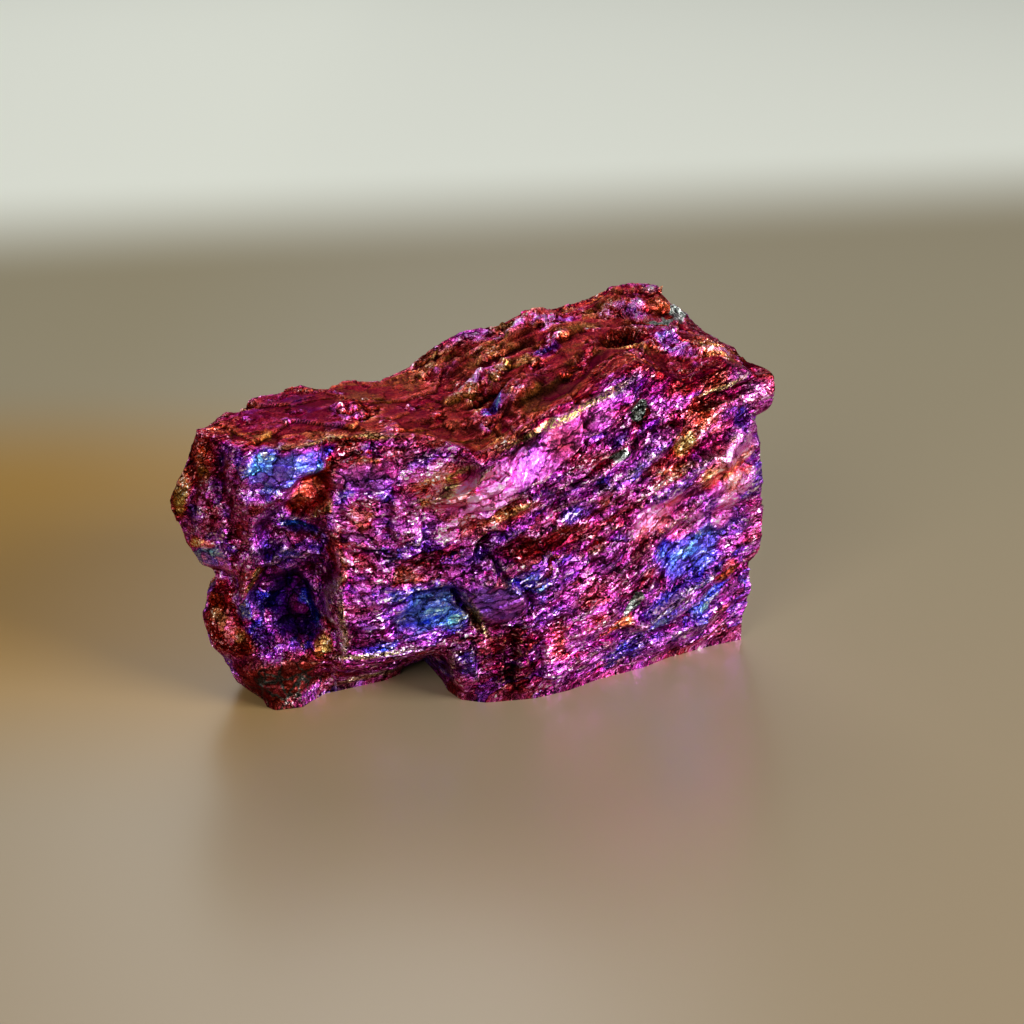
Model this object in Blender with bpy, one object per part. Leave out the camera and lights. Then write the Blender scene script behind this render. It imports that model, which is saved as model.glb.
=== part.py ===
"""Peacock ore specimen: one broken lump of chalcopyrite that rests on two low feet.

The lump is long, about half as deep as it is long, and its top climbs from a low bench on the left to a peak at
the back right. It is modelled as a grid-cut block whose points are carried onto a loft between named edge lines
(the rails), and then broken up by pits, knobs, a stepped slab and a foliated grain. Lengths are in millimetres
until the last step. +X is the long way, towards the peak, -Y is the streaky front, +Z is up.
"""

from itertools import product

import bmesh
import bpy
import numpy as np

MM = 0.001

# The tarnish seen from a step away: magenta to purple, and metallic.
TARNISH = {"Base Color": (0.36, 0.035, 0.22, 1), "Metallic": 0.85, "Roughness": 0.32}

# Cells of the block's grid along its length, its depth and its height.
CELLS = (52, 18, 26)

# The middle of the drawn outline in x and y, which is set over the origin.
MIDDLE = (0.26, -0.30)

# The lump rests on two feet. Points of the sole that are drawn lower than SOLE_BAND are flat on the ground, and
# the surface only gets its full roughness ROUGH_FROM above the ground.
SOLE_BAND = 0.7
ROUGH_FROM = 4.0

# How strongly the block's outward direction keeps to one face, away from its edges.
SQUARENESS = 5

# How square a mark's corners are: 2 makes an ellipse, and large numbers make a rectangle. RAGGED is how far its
# outline strays.
CORNER = 2.6
RAGGED = 0.9

# Roughness in layers, each as (size across, how far it stands out or sinks in): smooth lumps, and chips with flat
# faces and a step between them.
LUMPS = ((13, 0.7), (6, 0.35))
CHIPS = ((11, 0.9), (5, 0.6))
# Smooth stretches of the top, as marks whose height is the share of the roughness that they lose.
CALM_MARKS = (
    (-22, 5, 24, 14, 0, 0.7, 1.8, 0.0),
    (15, 2, 19, 14, 10, 0.6, 1.6, 0.0),
    (12.5, -9.0, 11, 4.4, 32, 0.8, 2.0, 0.0),
    (-4, -6, 9, 6, -20, 0.6, 1.6, 0.0),
)

# The grain: sheets that lie in the front face and rise to the right. GRAIN_SLOPE is how steeply, at the left end
# and at the right, in degrees. Each sheet breaks off in a ledge.
GRAIN_SLOPE = (4, 25)
SHEET, LEDGE = 5.2, 0.6

# The rails: lines along the lump from its left end to its right end, as (x, y, z). Each one is an edge or a
# change of slope that the eye can follow on the stone.
FRONT_FOOT = [
    (-32.5, -2.5, 2.0), (-29, -8.5, 0), (-25.5, -8.8, 0), (-21.5, -5.6, 0), (-12.5, -4.2, 0), (-10.4, -3.9, 0.8),
    (-7.4, -4.2, 1.8), (-6.2, -10.4, 0.6), (-5.3, -13.8, 0.1), (-2.5, -15.8, 0), (4, -16.8, 0), (9, -16.2, 0),
    (14.0, -14.4, 0), (21, -13.2, 0), (26, -11.2, 0), (31, -10.4, 0), (37.4, -9.9, 0),
]
FRONT_SKIRT = [
    (-34.5, -2.0, 7.5), (-31.5, -6.5, 8.0), (-25, -8.5, 7.8), (-20.5, -11.6, 6.8), (-13.0, -12.6, 7.3),
    (-7.8, -14.0, 8.4), (-4.2, -15.8, 9.4), (4, -17.6, 9), (14, -17.0, 8), (26, -14.0, 7), (38.2, -11.0, 7),
]
FRONT_WAIST = [
    (-35.0, -0.5, 16.5), (-31.5, -5.0, 17), (-22.5, -7.0, 17), (-20.3, -11.0, 17), (-10, -14.5, 17.5),
    (0, -17.4, 18.5), (13, -17.8, 18.0), (27, -15.5, 17), (38.9, -11.4, 16),
]
FRONT_SHOULDER = [
    (-38.8, -0.5, 28.5), (-32.2, -7.5, 29.5), (-20.5, -9.5, 28.5), (-10, -13.5, 29.0), (-2, -17.2, 31.0),
    (8, -17.8, 33.0), (20, -17.4, 36.5), (27, -16.6, 35.0), (37.6, -12.0, 31),
]
FRONT_BROW = [
    (-35.5, -0.5, 36.4), (-31.5, -6.6, 36.0), (-24, -8.4, 36.0), (-19.6, -5.8, 36.0), (-11.3, -8.8, 36.0),
    (-7.2, -11.8, 35.9), (-2.3, -16.4, 34.2), (8, -15.6, 39.6), (18.7, -15.2, 44.4), (25.4, -15.2, 40.8),
    (31.6, -14.6, 42.6), (38.6, -11.0, 38.6),
]
TOP_TROUGH = [
    (-35.2, 1.2, 36.4), (-28, 3.0, 36.6), (-18, 3.5, 36.8), (-8, 1.0, 36.4), (0, -3.5, 37.2), (8, -5.0, 40.0),
    (18, -5.5, 43.4), (27, -3.0, 43.6), (37.4, -5.0, 42.0),
]
TOP_CREST = [
    (-34.6, 3.2, 35.8), (-29.5, 8.0, 36.0), (-24, 13.0, 36.1), (-18.3, 14.6, 36.0), (-7.5, 14.2, 35.7),
    (-3.0, 14.0, 37.7), (1.6, 14.0, 41.0), (4.5, 14.0, 42.2), (10.2, 14.0, 42.1), (14.0, 14.0, 43.4), (17.5, 14.0, 43.2),
    (21.5, 14.0, 44.0), (24.5, 14.0, 45.0), (27.0, 14.0, 45.8), (30.5, 13.6, 46.0), (34.8, 10.5, 43.2),
]
BACK_WAIST = [(-34.2, 4.5, 20), (-26, 16.0, 19), (-10, 18.5, 20), (10, 18.8, 22), (27, 17.5, 23), (37.2, 9.5, 22)]
BACK_FOOT = [(-31.5, 3.0, 2.5), (-24, 12.5, 0), (-8, 15.0, 0), (10, 15.8, 0), (26, 14.0, 0), (34.8, 8.0, 0)]
SOLE_MIDDLE = [(-32.0, 0.0, 1.5), (-25, 2.0, 0), (-13, 3.0, 0.6), (-7.5, 3.0, 2.6), (-2, 1.0, 0.6), (35.5, 0.0, 0)]

# Marks on the front, as (x, z, half length, half width, turn, height, steepness, lean). A mark is a rounded
# rectangle, turned by turn degrees, up to the right. A height under 0 is a hollow. Steepness 1 makes a cone-like
# swelling, and more makes a flat top with a wall around it. Lean tips the flat: at 1 it is twice as high along its
# upper side and level with the stone along its lower side, as a broken plate is, and at -1 the other way round.
FRONT_MARKS = (
    (-27.0, 33.2, 7.5, 2.6, 6, 0.6, 3.0, 0.0),  # blue face under the bench
    (-25.6, 19.5, 10.5, 5.2, 90, -1.7, 3.0, 0.0),  # tall recess of the left face
    (-23.6, 29.6, 4.6, 2.8, 35, -1.7, 2.0, -0.6),  # orange scoop over the recess
    (-26.5, 20.6, 3.8, 1.0, 5, 1.0, 3.0, 0.0),  # ledge across the recess
    (-25.6, 13.4, 5.4, 3.2, 100, -1.7, 1.6, 0.0),  # dark pocket low in the recess
    (-30.4, 19.0, 4.5, 1.2, 92, 0.4, 2.5, 0.0),  # rims of the recess
    (-20.6, 14.0, 7.0, 1.0, 88, 0.7, 3.0, 0.0),
    (-33.5, 31.0, 5.5, 0.9, 90, -0.6, 2.0, 0.0),  # upright grooves of the left corner
    (-37.0, 30.5, 6.0, 1.0, 90, -0.6, 2.0, 0.0),
    (-31.2, 31.5, 5.0, 0.9, 90, 0.6, 2.0, 0.0),
    (-27.8, 4.2, 6.0, 3.4, 12, 0.9, 3.0, 0.5),  # plain facet of the left foot
    (-16.5, 31.8, 4.5, 2.2, 4, 0.8, 4.0, 0.4),  # blocks between the recess and the slab
    (-15.0, 24.5, 5.5, 2.6, 4, 0.6, 4.0, -0.5),
    (-12.0, 26.5, 2.2, 3.2, 8, 0.9, 4.0, 0.0),
    (-16.0, 15.0, 4.5, 3.6, 10, 0.6, 4.0, -0.6),
    (-8.8, 31.8, 6.0, 2.2, 30, -1.2, 4.0, -0.8),  # wedge above the slab's lip
    (-4.8, 31.0, 6.5, 1.4, 27, 1.3, 3.5, 0.7),  # the slab's lip
    (6.5, 35.2, 15.0, 2.5, 29, 1.2, 3.5, -0.5),  # bright band under the long edge
    (16.0, 31.5, 10.0, 1.8, 24, 0.7, 3.5, 0.6),
    (11.5, 30.4, 15.0, 1.5, 25, -1.0, 2.5, 0.0),  # dark band
    (24.0, 28.0, 8.5, 2.2, 20, 0.9, 3.5, 0.5),
    (33.5, 31.0, 4.5, 3.0, 15, 0.9, 3.5, 0.3),
    (-2.2, 22.6, 3.2, 1.6, 40, -1.2, 2.5, 0.5),  # pit at the end of the dark band, and the crack under it
    (-1.0, 19.4, 2.6, 0.6, -60, -0.9, 3.0, 0.0),
    (5.5, 22.0, 9.5, 1.7, 3, -0.8, 3.0, -0.6),
    (-1.6, 15.2, 4.6, 3.4, -30, 1.5, 4.0, 0.3),  # dull facet with a crack at its left
    (-4.9, 13.6, 3.6, 0.6, -62, -1.6, 3.0, 0.0),
    (-10.2, 14.0, 5.6, 3.4, 16, -1.0, 3.5, 0.4),  # streaked blue hollow
    (5.2, 16.5, 3.4, 2.4, 80, 0.8, 3.0, 0.0),
    (-5.4, 5.6, 4.4, 1.7, 92, 1.1, 4.0, 0.0),  # violet block of the right foot
    (0.4, 6.0, 4.8, 1.1, 84, -1.0, 2.5, 0.0),  # red upright ribs
    (3.9, 6.2, 4.4, 1.3, 97, -0.8, 2.5, 0.0),
    (19.8, 13.0, 1.8, 1.5, 60, 1.0, 2.0, 0.0),  # round boss
    (18.4, 38.4, 2.3, 1.7, 50, -0.4, 2.0, 0.0),  # grey spot
    (28.4, 18.6, 8.0, 4.6, 16, -0.8, 3.0, 0.3),  # blue hollow on the right
    (25.0, 9.8, 9.0, 2.6, 20, 1.2, 3.5, 0.6),  # plates under it
    (28.0, 4.5, 9.0, 1.6, 14, 0.7, 3.0, 0.6),
    (12.0, 10.5, 5.0, 2.6, 14, 0.6, 3.5, 0.5),
    (10.5, 4.6, 6.0, 1.6, 10, 0.6, 3.0, 0.5),
    (31.4, 38.4, 6.0, 1.2, 8, -1.2, 3.0, 0.0),  # gap under the right-hand ledge
)
# Marks on the top, as (x, y, half length, half width, turn, height, steepness, lean).
TOP_MARKS = (
    (5.4, -7.2, 3.6, 3.0, 20, 2.0, 1.5, 0.3),  # blue-sided knob
    (2.0, 0.4, 6.4, 1.9, 20, 1.2, 1.6, 0.5),  # crescent ridge
    (2.6, -3.4, 4.0, 1.6, 20, -0.9, 2.0, 0.0),
    (21.6, -2.8, 4.6, 3.4, 20, -1.8, 1.5, 0.0),  # orange cavity
    (12.5, -8.5, 7.5, 3.0, 34, -0.8, 1.6, 0.0),  # smooth olive trough
    (13.0, 9.5, 6.0, 2.0, 14, 1.1, 1.8, 0.5),  # flakes along the back
    (8.0, 4.5, 5.0, 1.7, 15, -0.9, 1.8, 0.0),
    (16.5, 3.5, 5.0, 2.4, 20, 0.9, 1.6, 0.4),
    (28.2, 8.5, 5.6, 4.4, -10, 1.3, 2.0, 0.0),  # block of the peak
    (28.5, 1.8, 6.0, 2.0, -15, -1.1, 1.6, 0.0),
    (31.0, -7.5, 4.5, 2.0, 10, 0.9, 2.5, 0.0),
    (-15.2, 2.4, 3.2, 1.4, 15, 0.8, 2.0, 0.0),  # little ridge and pit of the bench
    (-14.4, -0.4, 2.4, 1.3, 15, -0.9, 2.0, 0.0),
    (-5.0, -8.5, 6.0, 3.4, -32, -0.6, 1.6, 0.0),
)
# Swellings and notches of the outline, as (x, y, z, reach in x, y and z, height, steepness).
OUTLINE_MARKS = (
    (-37.5, 0.5, 24.6, 7.0, 9.0, 8.5, 1.3, 1.5),  # cheek
    (-34.5, -1.0, 16.4, 4.0, 7.0, 2.5, -1.5, 1.6),  # notch under the cheek
    (-33.8, -1.0, 9.5, 4.0, 6.0, 4.5, 0.8, 1.6),
    (37.6, -12.4, 32.4, 3.2, 6.0, 2.4, -0.9, 1.8),  # dark notch on the right
    (38.4, -9.0, 36.8, 5.0, 6.5, 4.0, 1.8, 1.6),  # shoulder over it
    (37.8, -11.0, 11.0, 4.0, 6.0, 2.6, -0.9, 1.6),  # waist
    (-7.0, 18.0, 26.0, 12.0, 8.0, 6.0, -1.8, 1.6),  # hollows of the back
    (14.0, 18.5, 14.0, 9.0, 8.0, 6.5, -1.6, 1.6),
    (20.0, 18.0, 32.0, 10.0, 8.0, 5.0, 1.8, 1.8),
    (-22.0, 15.0, 11.0, 6.0, 8.0, 5.0, 1.4, 1.8),
    (-15.0, 15.0, 35.5, 3.5, 3.0, 3.5, -0.8, 1.8),  # chips off the edges
    (-28.0, 9.0, 35.5, 3.0, 3.0, 3.0, -0.8, 1.8),
    (35.0, 10.0, 24.0, 4.0, 5.0, 7.0, -1.6, 1.8),
    (36.0, -9.0, 24.0, 5.0, 4.0, 3.0, 0.8, 1.8),
)

FRONT_RAILS = (FRONT_FOOT, FRONT_SKIRT, FRONT_WAIST, FRONT_SHOULDER, FRONT_BROW)
TOP_RAILS = (FRONT_BROW, TOP_TROUGH, TOP_CREST)
BACK_RAILS = (BACK_FOOT, BACK_WAIST, TOP_CREST)
SOLE_RAILS = (FRONT_FOOT, SOLE_MIDDLE, BACK_FOOT)


def rail_point(rail, along):
    """The rail's point at each share of its length in x, from 0 at the left end to 1 at the right."""
    corners = np.array(rail, float)
    x = corners[0, 0] + along * (corners[-1, 0] - corners[0, 0])
    return np.stack([x, np.interp(x, corners[:, 0], corners[:, 1]), np.interp(x, corners[:, 0], corners[:, 2])], 1)


def sheet(rails, along, across):
    """The ruled sheet through some rails. across runs from 0 on the first rail to 1 on the last."""
    station = across * (len(rails) - 1)
    shares = [np.clip(1 - abs(station - number), 0, 1)[:, None] for number in range(len(rails))]
    return sum(share * rail_point(rail, along) for share, rail in zip(shares, rails))


def loft_points(along, inward, upward):
    """Blends the four sheets over the whole block, as a Coons patch does at each station along the length."""
    t, s = inward[:, None], upward[:, None]
    zero, one = np.zeros_like(along), np.ones_like(along)
    sides = (1 - t) * sheet(FRONT_RAILS, along, upward) + t * sheet(BACK_RAILS, along, upward)
    caps = (1 - s) * sheet(SOLE_RAILS, along, inward) + s * sheet(TOP_RAILS, along, inward)
    low = (1 - t) * sheet(SOLE_RAILS, along, zero) + t * sheet(SOLE_RAILS, along, one)
    high = (1 - t) * sheet(TOP_RAILS, along, zero) + t * sheet(TOP_RAILS, along, one)
    return sides + caps - (1 - s) * low - s * high


def lattice(cell, seed):
    """One fixed number from 0 to 1 for each whole-numbered cell of space."""
    value = np.sin(cell @ (12.9898, 78.233, 37.719) + 4.7 * seed) * 43758.5453
    return value - np.floor(value)


def noise(points, size, seed):
    """Smooth noise from -1 to 1, whose lumps are about size across."""
    cell = np.floor(points / size)
    t = points / size - cell
    t = t * t * (3 - 2 * t)
    total = 0
    for corner in product((0, 1), repeat=3):
        total = total + np.prod(np.where(corner, t, 1 - t), axis=1) * lattice(cell + corner, seed)
    return 2 * total - 1


def chips(points, size, seed):
    """Tilted flat faces, from about -1 to 1. Each point belongs to the nearest seed, one seed to a cell of space,
    and its height is that seed's own number plus its distance from the seed along the seed's own random slope."""
    place = points / size
    home = np.floor(place)
    nearest = np.full(len(points), np.inf)
    height = np.zeros(len(points))
    for step in product((-1, 0, 1), repeat=3):
        cell = home + step
        away = place - cell - np.stack([lattice(cell, seed + turn) for turn in (1, 2, 3)], axis=1)
        slope = np.stack([lattice(cell, seed + turn) for turn in (4, 5, 6)], axis=1) - 0.5
        reach = (away**2).sum(1)
        face = 0.9 * (lattice(cell, seed + 7) - 0.5) + 1.6 * (away * slope).sum(1)
        height = np.where(reach < nearest, face, height)
        nearest = np.minimum(nearest, reach)
    return height


def outward_of(shares):
    """The way out of the stone: square to each face of the block, and turning smoothly over its edges."""
    way = (2 * shares - 1) ** SQUARENESS
    return way / np.linalg.norm(way, axis=1)[:, None]


def rise(reach, height, steepness):
    """A mark's height where reach is 0 at its middle and 1 at its rim."""
    level = np.clip(steepness * (1 - reach), 0, 1)
    return height * level * level * (3 - 2 * level)


def flat_marks(across, up, marks):
    """The marks of one face, from each point's place (across, up) on it."""
    total = np.zeros_like(across)
    for x, y, half_length, half_width, turn, height, steepness, lean in marks:
        cosine, sine = np.cos(np.radians(turn)), np.sin(np.radians(turn))
        length = (across - x) * cosine + (up - y) * sine
        width = ((up - y) * cosine - (across - x) * sine) / half_width
        reach = (abs(length / half_length) ** CORNER + abs(width) ** CORNER) ** (1 / CORNER)
        total += rise(reach, height, steepness) * (1 + lean * width)
    return total


def outline_marks(points):
    total = np.zeros(len(points))
    for mark in OUTLINE_MARKS:
        centre, reaches, (height, steepness) = np.array(mark[:3]), np.array(mark[3:6]), mark[6:]
        total += rise(np.linalg.norm((points - centre) / reaches, axis=1), height, steepness)
    return total


def grain(points):
    """Ledges: each sheet of the grain swells towards its upper edge, where it breaks off."""
    x, z = points[:, 0], points[:, 2]
    slope = np.radians(np.interp(x, (-30, 5), GRAIN_SLOPE))
    sheet_number = (z * np.cos(slope) - x * np.sin(slope) + 2.2 * noise(points, 14, 5)) / SHEET
    return LEDGE * (sheet_number - np.floor(sheet_number) - 0.5) * (0.6 + 0.4 * noise(points, 9, 6))


def ragged(points, amount):
    """The points moved about by noise, amount at most, so that what is drawn at the result has ragged outlines."""
    sway = [noise(points, 5, seed) + 0.5 * noise(points, 2.2, seed + 1) for seed in (61, 63, 65)]
    return points + amount * np.stack(sway, axis=1)


def relief(points, outward):
    """How far each point stands out from the loft."""
    facing_front = np.clip(-3 * outward[:, 1] - 0.75, 0, 1)
    facing_up = np.clip(3 * outward[:, 2] - 0.75, 0, 1)
    x, y, z = ragged(points, RAGGED).T
    height = facing_front * flat_marks(x, z, FRONT_MARKS) + facing_up * flat_marks(x, y, TOP_MARKS)
    height += outline_marks(points)
    inside_top = np.clip(5 * outward[:, 2] - 4, 0, 1)
    calm = inside_top * flat_marks(points[:, 0], points[:, 1], CALM_MARKS).clip(0, 0.85)
    rough = sum(amount * noise(points, size, size) for size, amount in LUMPS)
    chipped = sum(amount * chips(points, size, size) for size, amount in CHIPS)
    near_edge = 1 - abs(outward).max(1)
    chipped *= (1 - 1.6 * near_edge) * (1 - 0.6 * facing_front)
    on_end = abs(outward[:, 0])
    height += (1 - calm) * (rough + chipped + (1 - facing_up) * (1 - 0.7 * on_end) * grain(points))
    return height * np.clip(points[:, 2] / ROUGH_FROM, 0, 1)


def stone_points(shares):
    """Every point of the finished stone, in millimetres, from its shares of the block's three sides."""
    points = loft_points(*shares.T)
    outward = outward_of(shares)
    points = points + relief(points, outward)[:, None] * outward
    points[points[:, 2] < SOLE_BAND, 2] = 0
    return points


def grid_block(bm):
    """A cube from -1 to 1, cut into a grid of CELLS."""
    bmesh.ops.create_cube(bm, size=2)
    for axis, cells in enumerate(CELLS):
        lengthwise = [edge for edge in bm.edges if edge.verts[0].co[axis] * edge.verts[1].co[axis] < -0.5]
        bmesh.ops.subdivide_edges(bm, edges=lengthwise, cuts=cells - 1, use_grid_fill=True)


def stone_mesh():
    bm = bmesh.new()
    grid_block(bm)
    shares = (np.array([vertex.co for vertex in bm.verts]) + 1) / 2
    points = stone_points(shares)
    points[:, :2] -= MIDDLE
    for vertex, point in zip(bm.verts, points * MM):
        vertex.co = point
    bmesh.ops.triangulate(bm, faces=bm.faces, quad_method="SHORT_EDGE")
    bmesh.ops.recalc_face_normals(bm, faces=bm.faces)
    mesh = bpy.data.meshes.new("peacock_ore")
    bm.to_mesh(mesh)
    bm.free()
    return mesh


def tarnish_material():
    material = bpy.data.materials.new("peacock_ore")
    material.use_nodes = True
    shader = material.node_tree.nodes["Principled BSDF"]
    for name, value in TARNISH.items():
        shader.inputs[name].default_value = value
    return material


def main():
    for obj in list(bpy.data.objects):
        bpy.data.objects.remove(obj)
    specimen = bpy.data.collections.new("peacock_ore_specimen")
    bpy.context.scene.collection.children.link(specimen)
    stone = bpy.data.objects.new("peacock_ore", stone_mesh())
    stone.data.materials.append(tarnish_material())
    specimen.objects.link(stone)


main()
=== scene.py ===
# %% [markdown]
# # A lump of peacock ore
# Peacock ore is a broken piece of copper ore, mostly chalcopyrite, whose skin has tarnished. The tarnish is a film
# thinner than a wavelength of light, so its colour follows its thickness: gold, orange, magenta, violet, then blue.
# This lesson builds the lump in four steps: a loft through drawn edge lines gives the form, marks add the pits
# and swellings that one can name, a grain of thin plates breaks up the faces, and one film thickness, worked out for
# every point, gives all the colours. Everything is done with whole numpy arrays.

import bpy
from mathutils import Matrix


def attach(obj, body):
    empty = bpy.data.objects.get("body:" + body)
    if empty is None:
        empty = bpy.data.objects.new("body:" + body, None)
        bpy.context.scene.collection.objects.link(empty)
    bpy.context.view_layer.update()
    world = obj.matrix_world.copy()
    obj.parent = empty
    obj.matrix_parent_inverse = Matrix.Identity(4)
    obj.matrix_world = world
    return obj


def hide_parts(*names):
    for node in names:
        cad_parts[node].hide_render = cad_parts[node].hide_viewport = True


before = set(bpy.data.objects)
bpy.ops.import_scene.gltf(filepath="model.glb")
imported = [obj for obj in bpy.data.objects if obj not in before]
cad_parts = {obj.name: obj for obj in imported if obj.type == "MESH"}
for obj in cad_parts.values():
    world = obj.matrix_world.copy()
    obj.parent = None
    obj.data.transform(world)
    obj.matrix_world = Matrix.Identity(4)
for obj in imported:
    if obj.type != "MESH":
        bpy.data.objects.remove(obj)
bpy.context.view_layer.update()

from itertools import product

import bpy
import numpy as np

MM = 0.001

# %% [markdown]
# The form of a broken stone is easiest to draw as a few lines that run along it: where it meets the table, where its
# front changes slope, the front edge of its top, a dip in the top, the back edge. Each line, or rail, is a short list
# of points in millimetres. A sculpted mesh would need thousands of points, and these lines need about ninety.

# %% The rails
# Each runs from the left end to the right end, as (x, y, z) in millimetres.
FRONT_FOOT = [
    (-32.5, -2.5, 2), (-29, -8.5, 0), (-25.5, -8.8, 0), (-21.5, -5.6, 0), (-12.5, -4.2, 0), (-10.4, -3.9, 0.8),
    (-7.4, -4.2, 1.8), (-6.2, -10.4, 0.6), (-5.3, -13.8, 0.1), (-2.5, -15.8, 0), (4, -16.8, 0), (9, -16.2, 0),
    (14, -14.4, 0), (21, -13.2, 0), (26, -11.2, 0), (31, -10.4, 0), (37.4, -9.9, 0),
]
FRONT_SKIRT = [
    (-34.5, -2, 7.5), (-31.5, -6.5, 8), (-25, -8.5, 7.8), (-20.5, -11.6, 6.8), (-13, -12.6, 7.3),
    (-7.8, -14, 8.4), (-4.2, -15.8, 9.4), (4, -17.6, 9), (14, -17, 8), (26, -14, 7), (38.2, -11, 7),
]
FRONT_WAIST = [
    (-35, -0.5, 16.5), (-31.5, -5, 17), (-22.5, -7, 17), (-20.3, -11, 17), (-10, -14.5, 17.5),
    (0, -17.4, 18.5), (13, -17.8, 18), (27, -15.5, 17), (38.9, -11.4, 16),
]
FRONT_SHOULDER = [
    (-38.8, -0.5, 28.5), (-32.2, -7.5, 29.5), (-20.5, -9.5, 28.5), (-10, -13.5, 29), (-2, -17.2, 31),
    (8, -17.8, 33), (20, -17.4, 36.5), (27, -16.6, 35), (37.6, -12, 31),
]
FRONT_BROW = [
    (-35.5, -0.5, 36.4), (-31.5, -6.6, 36), (-24, -8.4, 36), (-19.6, -5.8, 36), (-11.3, -8.8, 36),
    (-7.2, -11.8, 35.9), (-2.3, -16.4, 34.2), (8, -15.6, 39.6), (18.7, -15.2, 44.4), (25.4, -15.2, 40.8),
    (31.6, -14.6, 42.6), (38.6, -11, 38.6),
]
TOP_TROUGH = [
    (-35.2, 1.2, 36.4), (-28, 3, 36.6), (-18, 3.5, 36.8), (-8, 1, 36.4), (0, -3.5, 37.2), (8, -5, 40),
    (18, -5.5, 43.4), (27, -3, 43.6), (37.4, -5, 42),
]
TOP_CREST = [
    (-34.6, 3.2, 35.8), (-29.5, 8, 36), (-24, 13, 36.1), (-18.3, 14.6, 36), (-7.5, 14.2, 35.7),
    (-3, 14, 37.7), (1.6, 14, 41), (4.5, 14, 42.2), (10.2, 14, 42.1), (14, 14, 43.4),
    (17.5, 14, 43.2), (21.5, 14, 44), (24.5, 14, 45), (27, 14, 45.8), (30.5, 13.6, 46),
    (34.8, 10.5, 43.2),
]
BACK_WAIST = [(-34.2, 4.5, 20), (-26, 16, 19), (-10, 18.5, 20), (10, 18.8, 22), (27, 17.5, 23), (37.2, 9.5, 22)]
BACK_FOOT = [(-31.5, 3, 2.5), (-24, 12.5, 0), (-8, 15, 0), (10, 15.8, 0), (26, 14, 0), (34.8, 8, 0)]
SOLE_MIDDLE = [(-32, 0, 1.5), (-25, 2, 0), (-13, 3, 0.6), (-7.5, 3, 2.6), (-2, 1, 0.6), (35.5, 0, 0)]

FRONT_RAILS = (FRONT_FOOT, FRONT_SKIRT, FRONT_WAIST, FRONT_SHOULDER, FRONT_BROW)
TOP_RAILS = (FRONT_BROW, TOP_TROUGH, TOP_CREST)
BACK_RAILS = (BACK_FOOT, BACK_WAIST, TOP_CREST)
SOLE_RAILS = (FRONT_FOOT, SOLE_MIDDLE, BACK_FOOT)

print("rails:", len({id(rail) for rail in FRONT_RAILS + TOP_RAILS + BACK_RAILS + SOLE_RAILS}))

# %% [markdown]
# Between the rails lie four ruled sheets: the front, the top, the back and the sole. A Coons patch joins them. At
# each station along the stone it adds the blend of front and back to the blend of sole and top, and takes away the
# straight blend of the four corner rails, which both of them hold. The result passes through every rail.

# %% The loft
def rail_point(rail, along):
    """The rail's point at each share of its length in x, from 0 at the left end to 1 at the right. y and z lie on
    the straight line between the two drawn points on either side."""
    corners = np.array(rail, float)
    x = corners[0, 0] + along * (corners[-1, 0] - corners[0, 0])
    return np.stack([x, *(np.interp(x, corners[:, 0], corners[:, axis]) for axis in (1, 2))], 1)


def sheet(rails, along, across):
    """The ruled sheet through some rails. across runs from 0 on the first rail to 1 on the last, and each rail's
    share is 1 less its distance from there, counted in rails."""
    station = across * (len(rails) - 1)
    shares = [np.clip(1 - abs(station - number), 0, 1)[:, None] for number in range(len(rails))]
    return sum(share * rail_point(rail, along) for share, rail in zip(shares, rails))


def loft_points(along, inward, upward):
    """The Coons patch at each station along the length: the blend of the sides and the blend of sole and top, added
    up, less the straight blend of the four corner rails."""
    t, s = inward[:, None], upward[:, None]
    zero, one = np.zeros_like(along), np.ones_like(along)
    sides = (1 - t) * sheet(FRONT_RAILS, along, upward) + t * sheet(BACK_RAILS, along, upward)
    caps = (1 - s) * sheet(SOLE_RAILS, along, inward) + s * sheet(TOP_RAILS, along, inward)
    low = (1 - t) * sheet(SOLE_RAILS, along, zero) + t * sheet(SOLE_RAILS, along, one)
    high = (1 - t) * sheet(TOP_RAILS, along, zero) + t * sheet(TOP_RAILS, along, one)
    return sides + caps - (1 - s) * low - s * high


top_middle = np.array([[0.5, 0.5, 1.0]])
print("middle of the top, mm:", loft_points(*top_middle.T)[0].round(1))

# %% [markdown]
# A stone needs noise that is the same on every run. Here each whole-numbered cell of space gets a fixed number out of
# a sine, which is enough for both kinds of noise below. Smooth noise blends the eight corners of a cell. Chips take
# the nearest of many scattered seeds instead, and give each seed a small tilted plane of its own, so the surface
# breaks into flat faces with a step between them, as brittle ore does.

# %% Smooth noise and chips
def lattice(cell, seed):
    """One fixed number from 0 to 1 for each whole-numbered cell of space: what stands after the point in a large
    multiple of a sine."""
    value = np.sin(cell @ (12.9898, 78.233, 37.719) + 4.7 * seed) * 43758.5453
    return value - np.floor(value)


def noise(points, size, seed):
    """Smooth noise from -1 to 1, whose lumps are about size across: the numbers of a cell's eight corners, each
    times its share along x, y and z."""
    cell = np.floor(points / size)
    t = points / size - cell
    t = t * t * (3 - 2 * t)
    total = 0
    for corner in product((0, 1), repeat=3):
        total = total + np.prod(np.where(corner, t, 1 - t), axis=1) * lattice(cell + corner, seed)
    return 2 * total - 1


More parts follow.
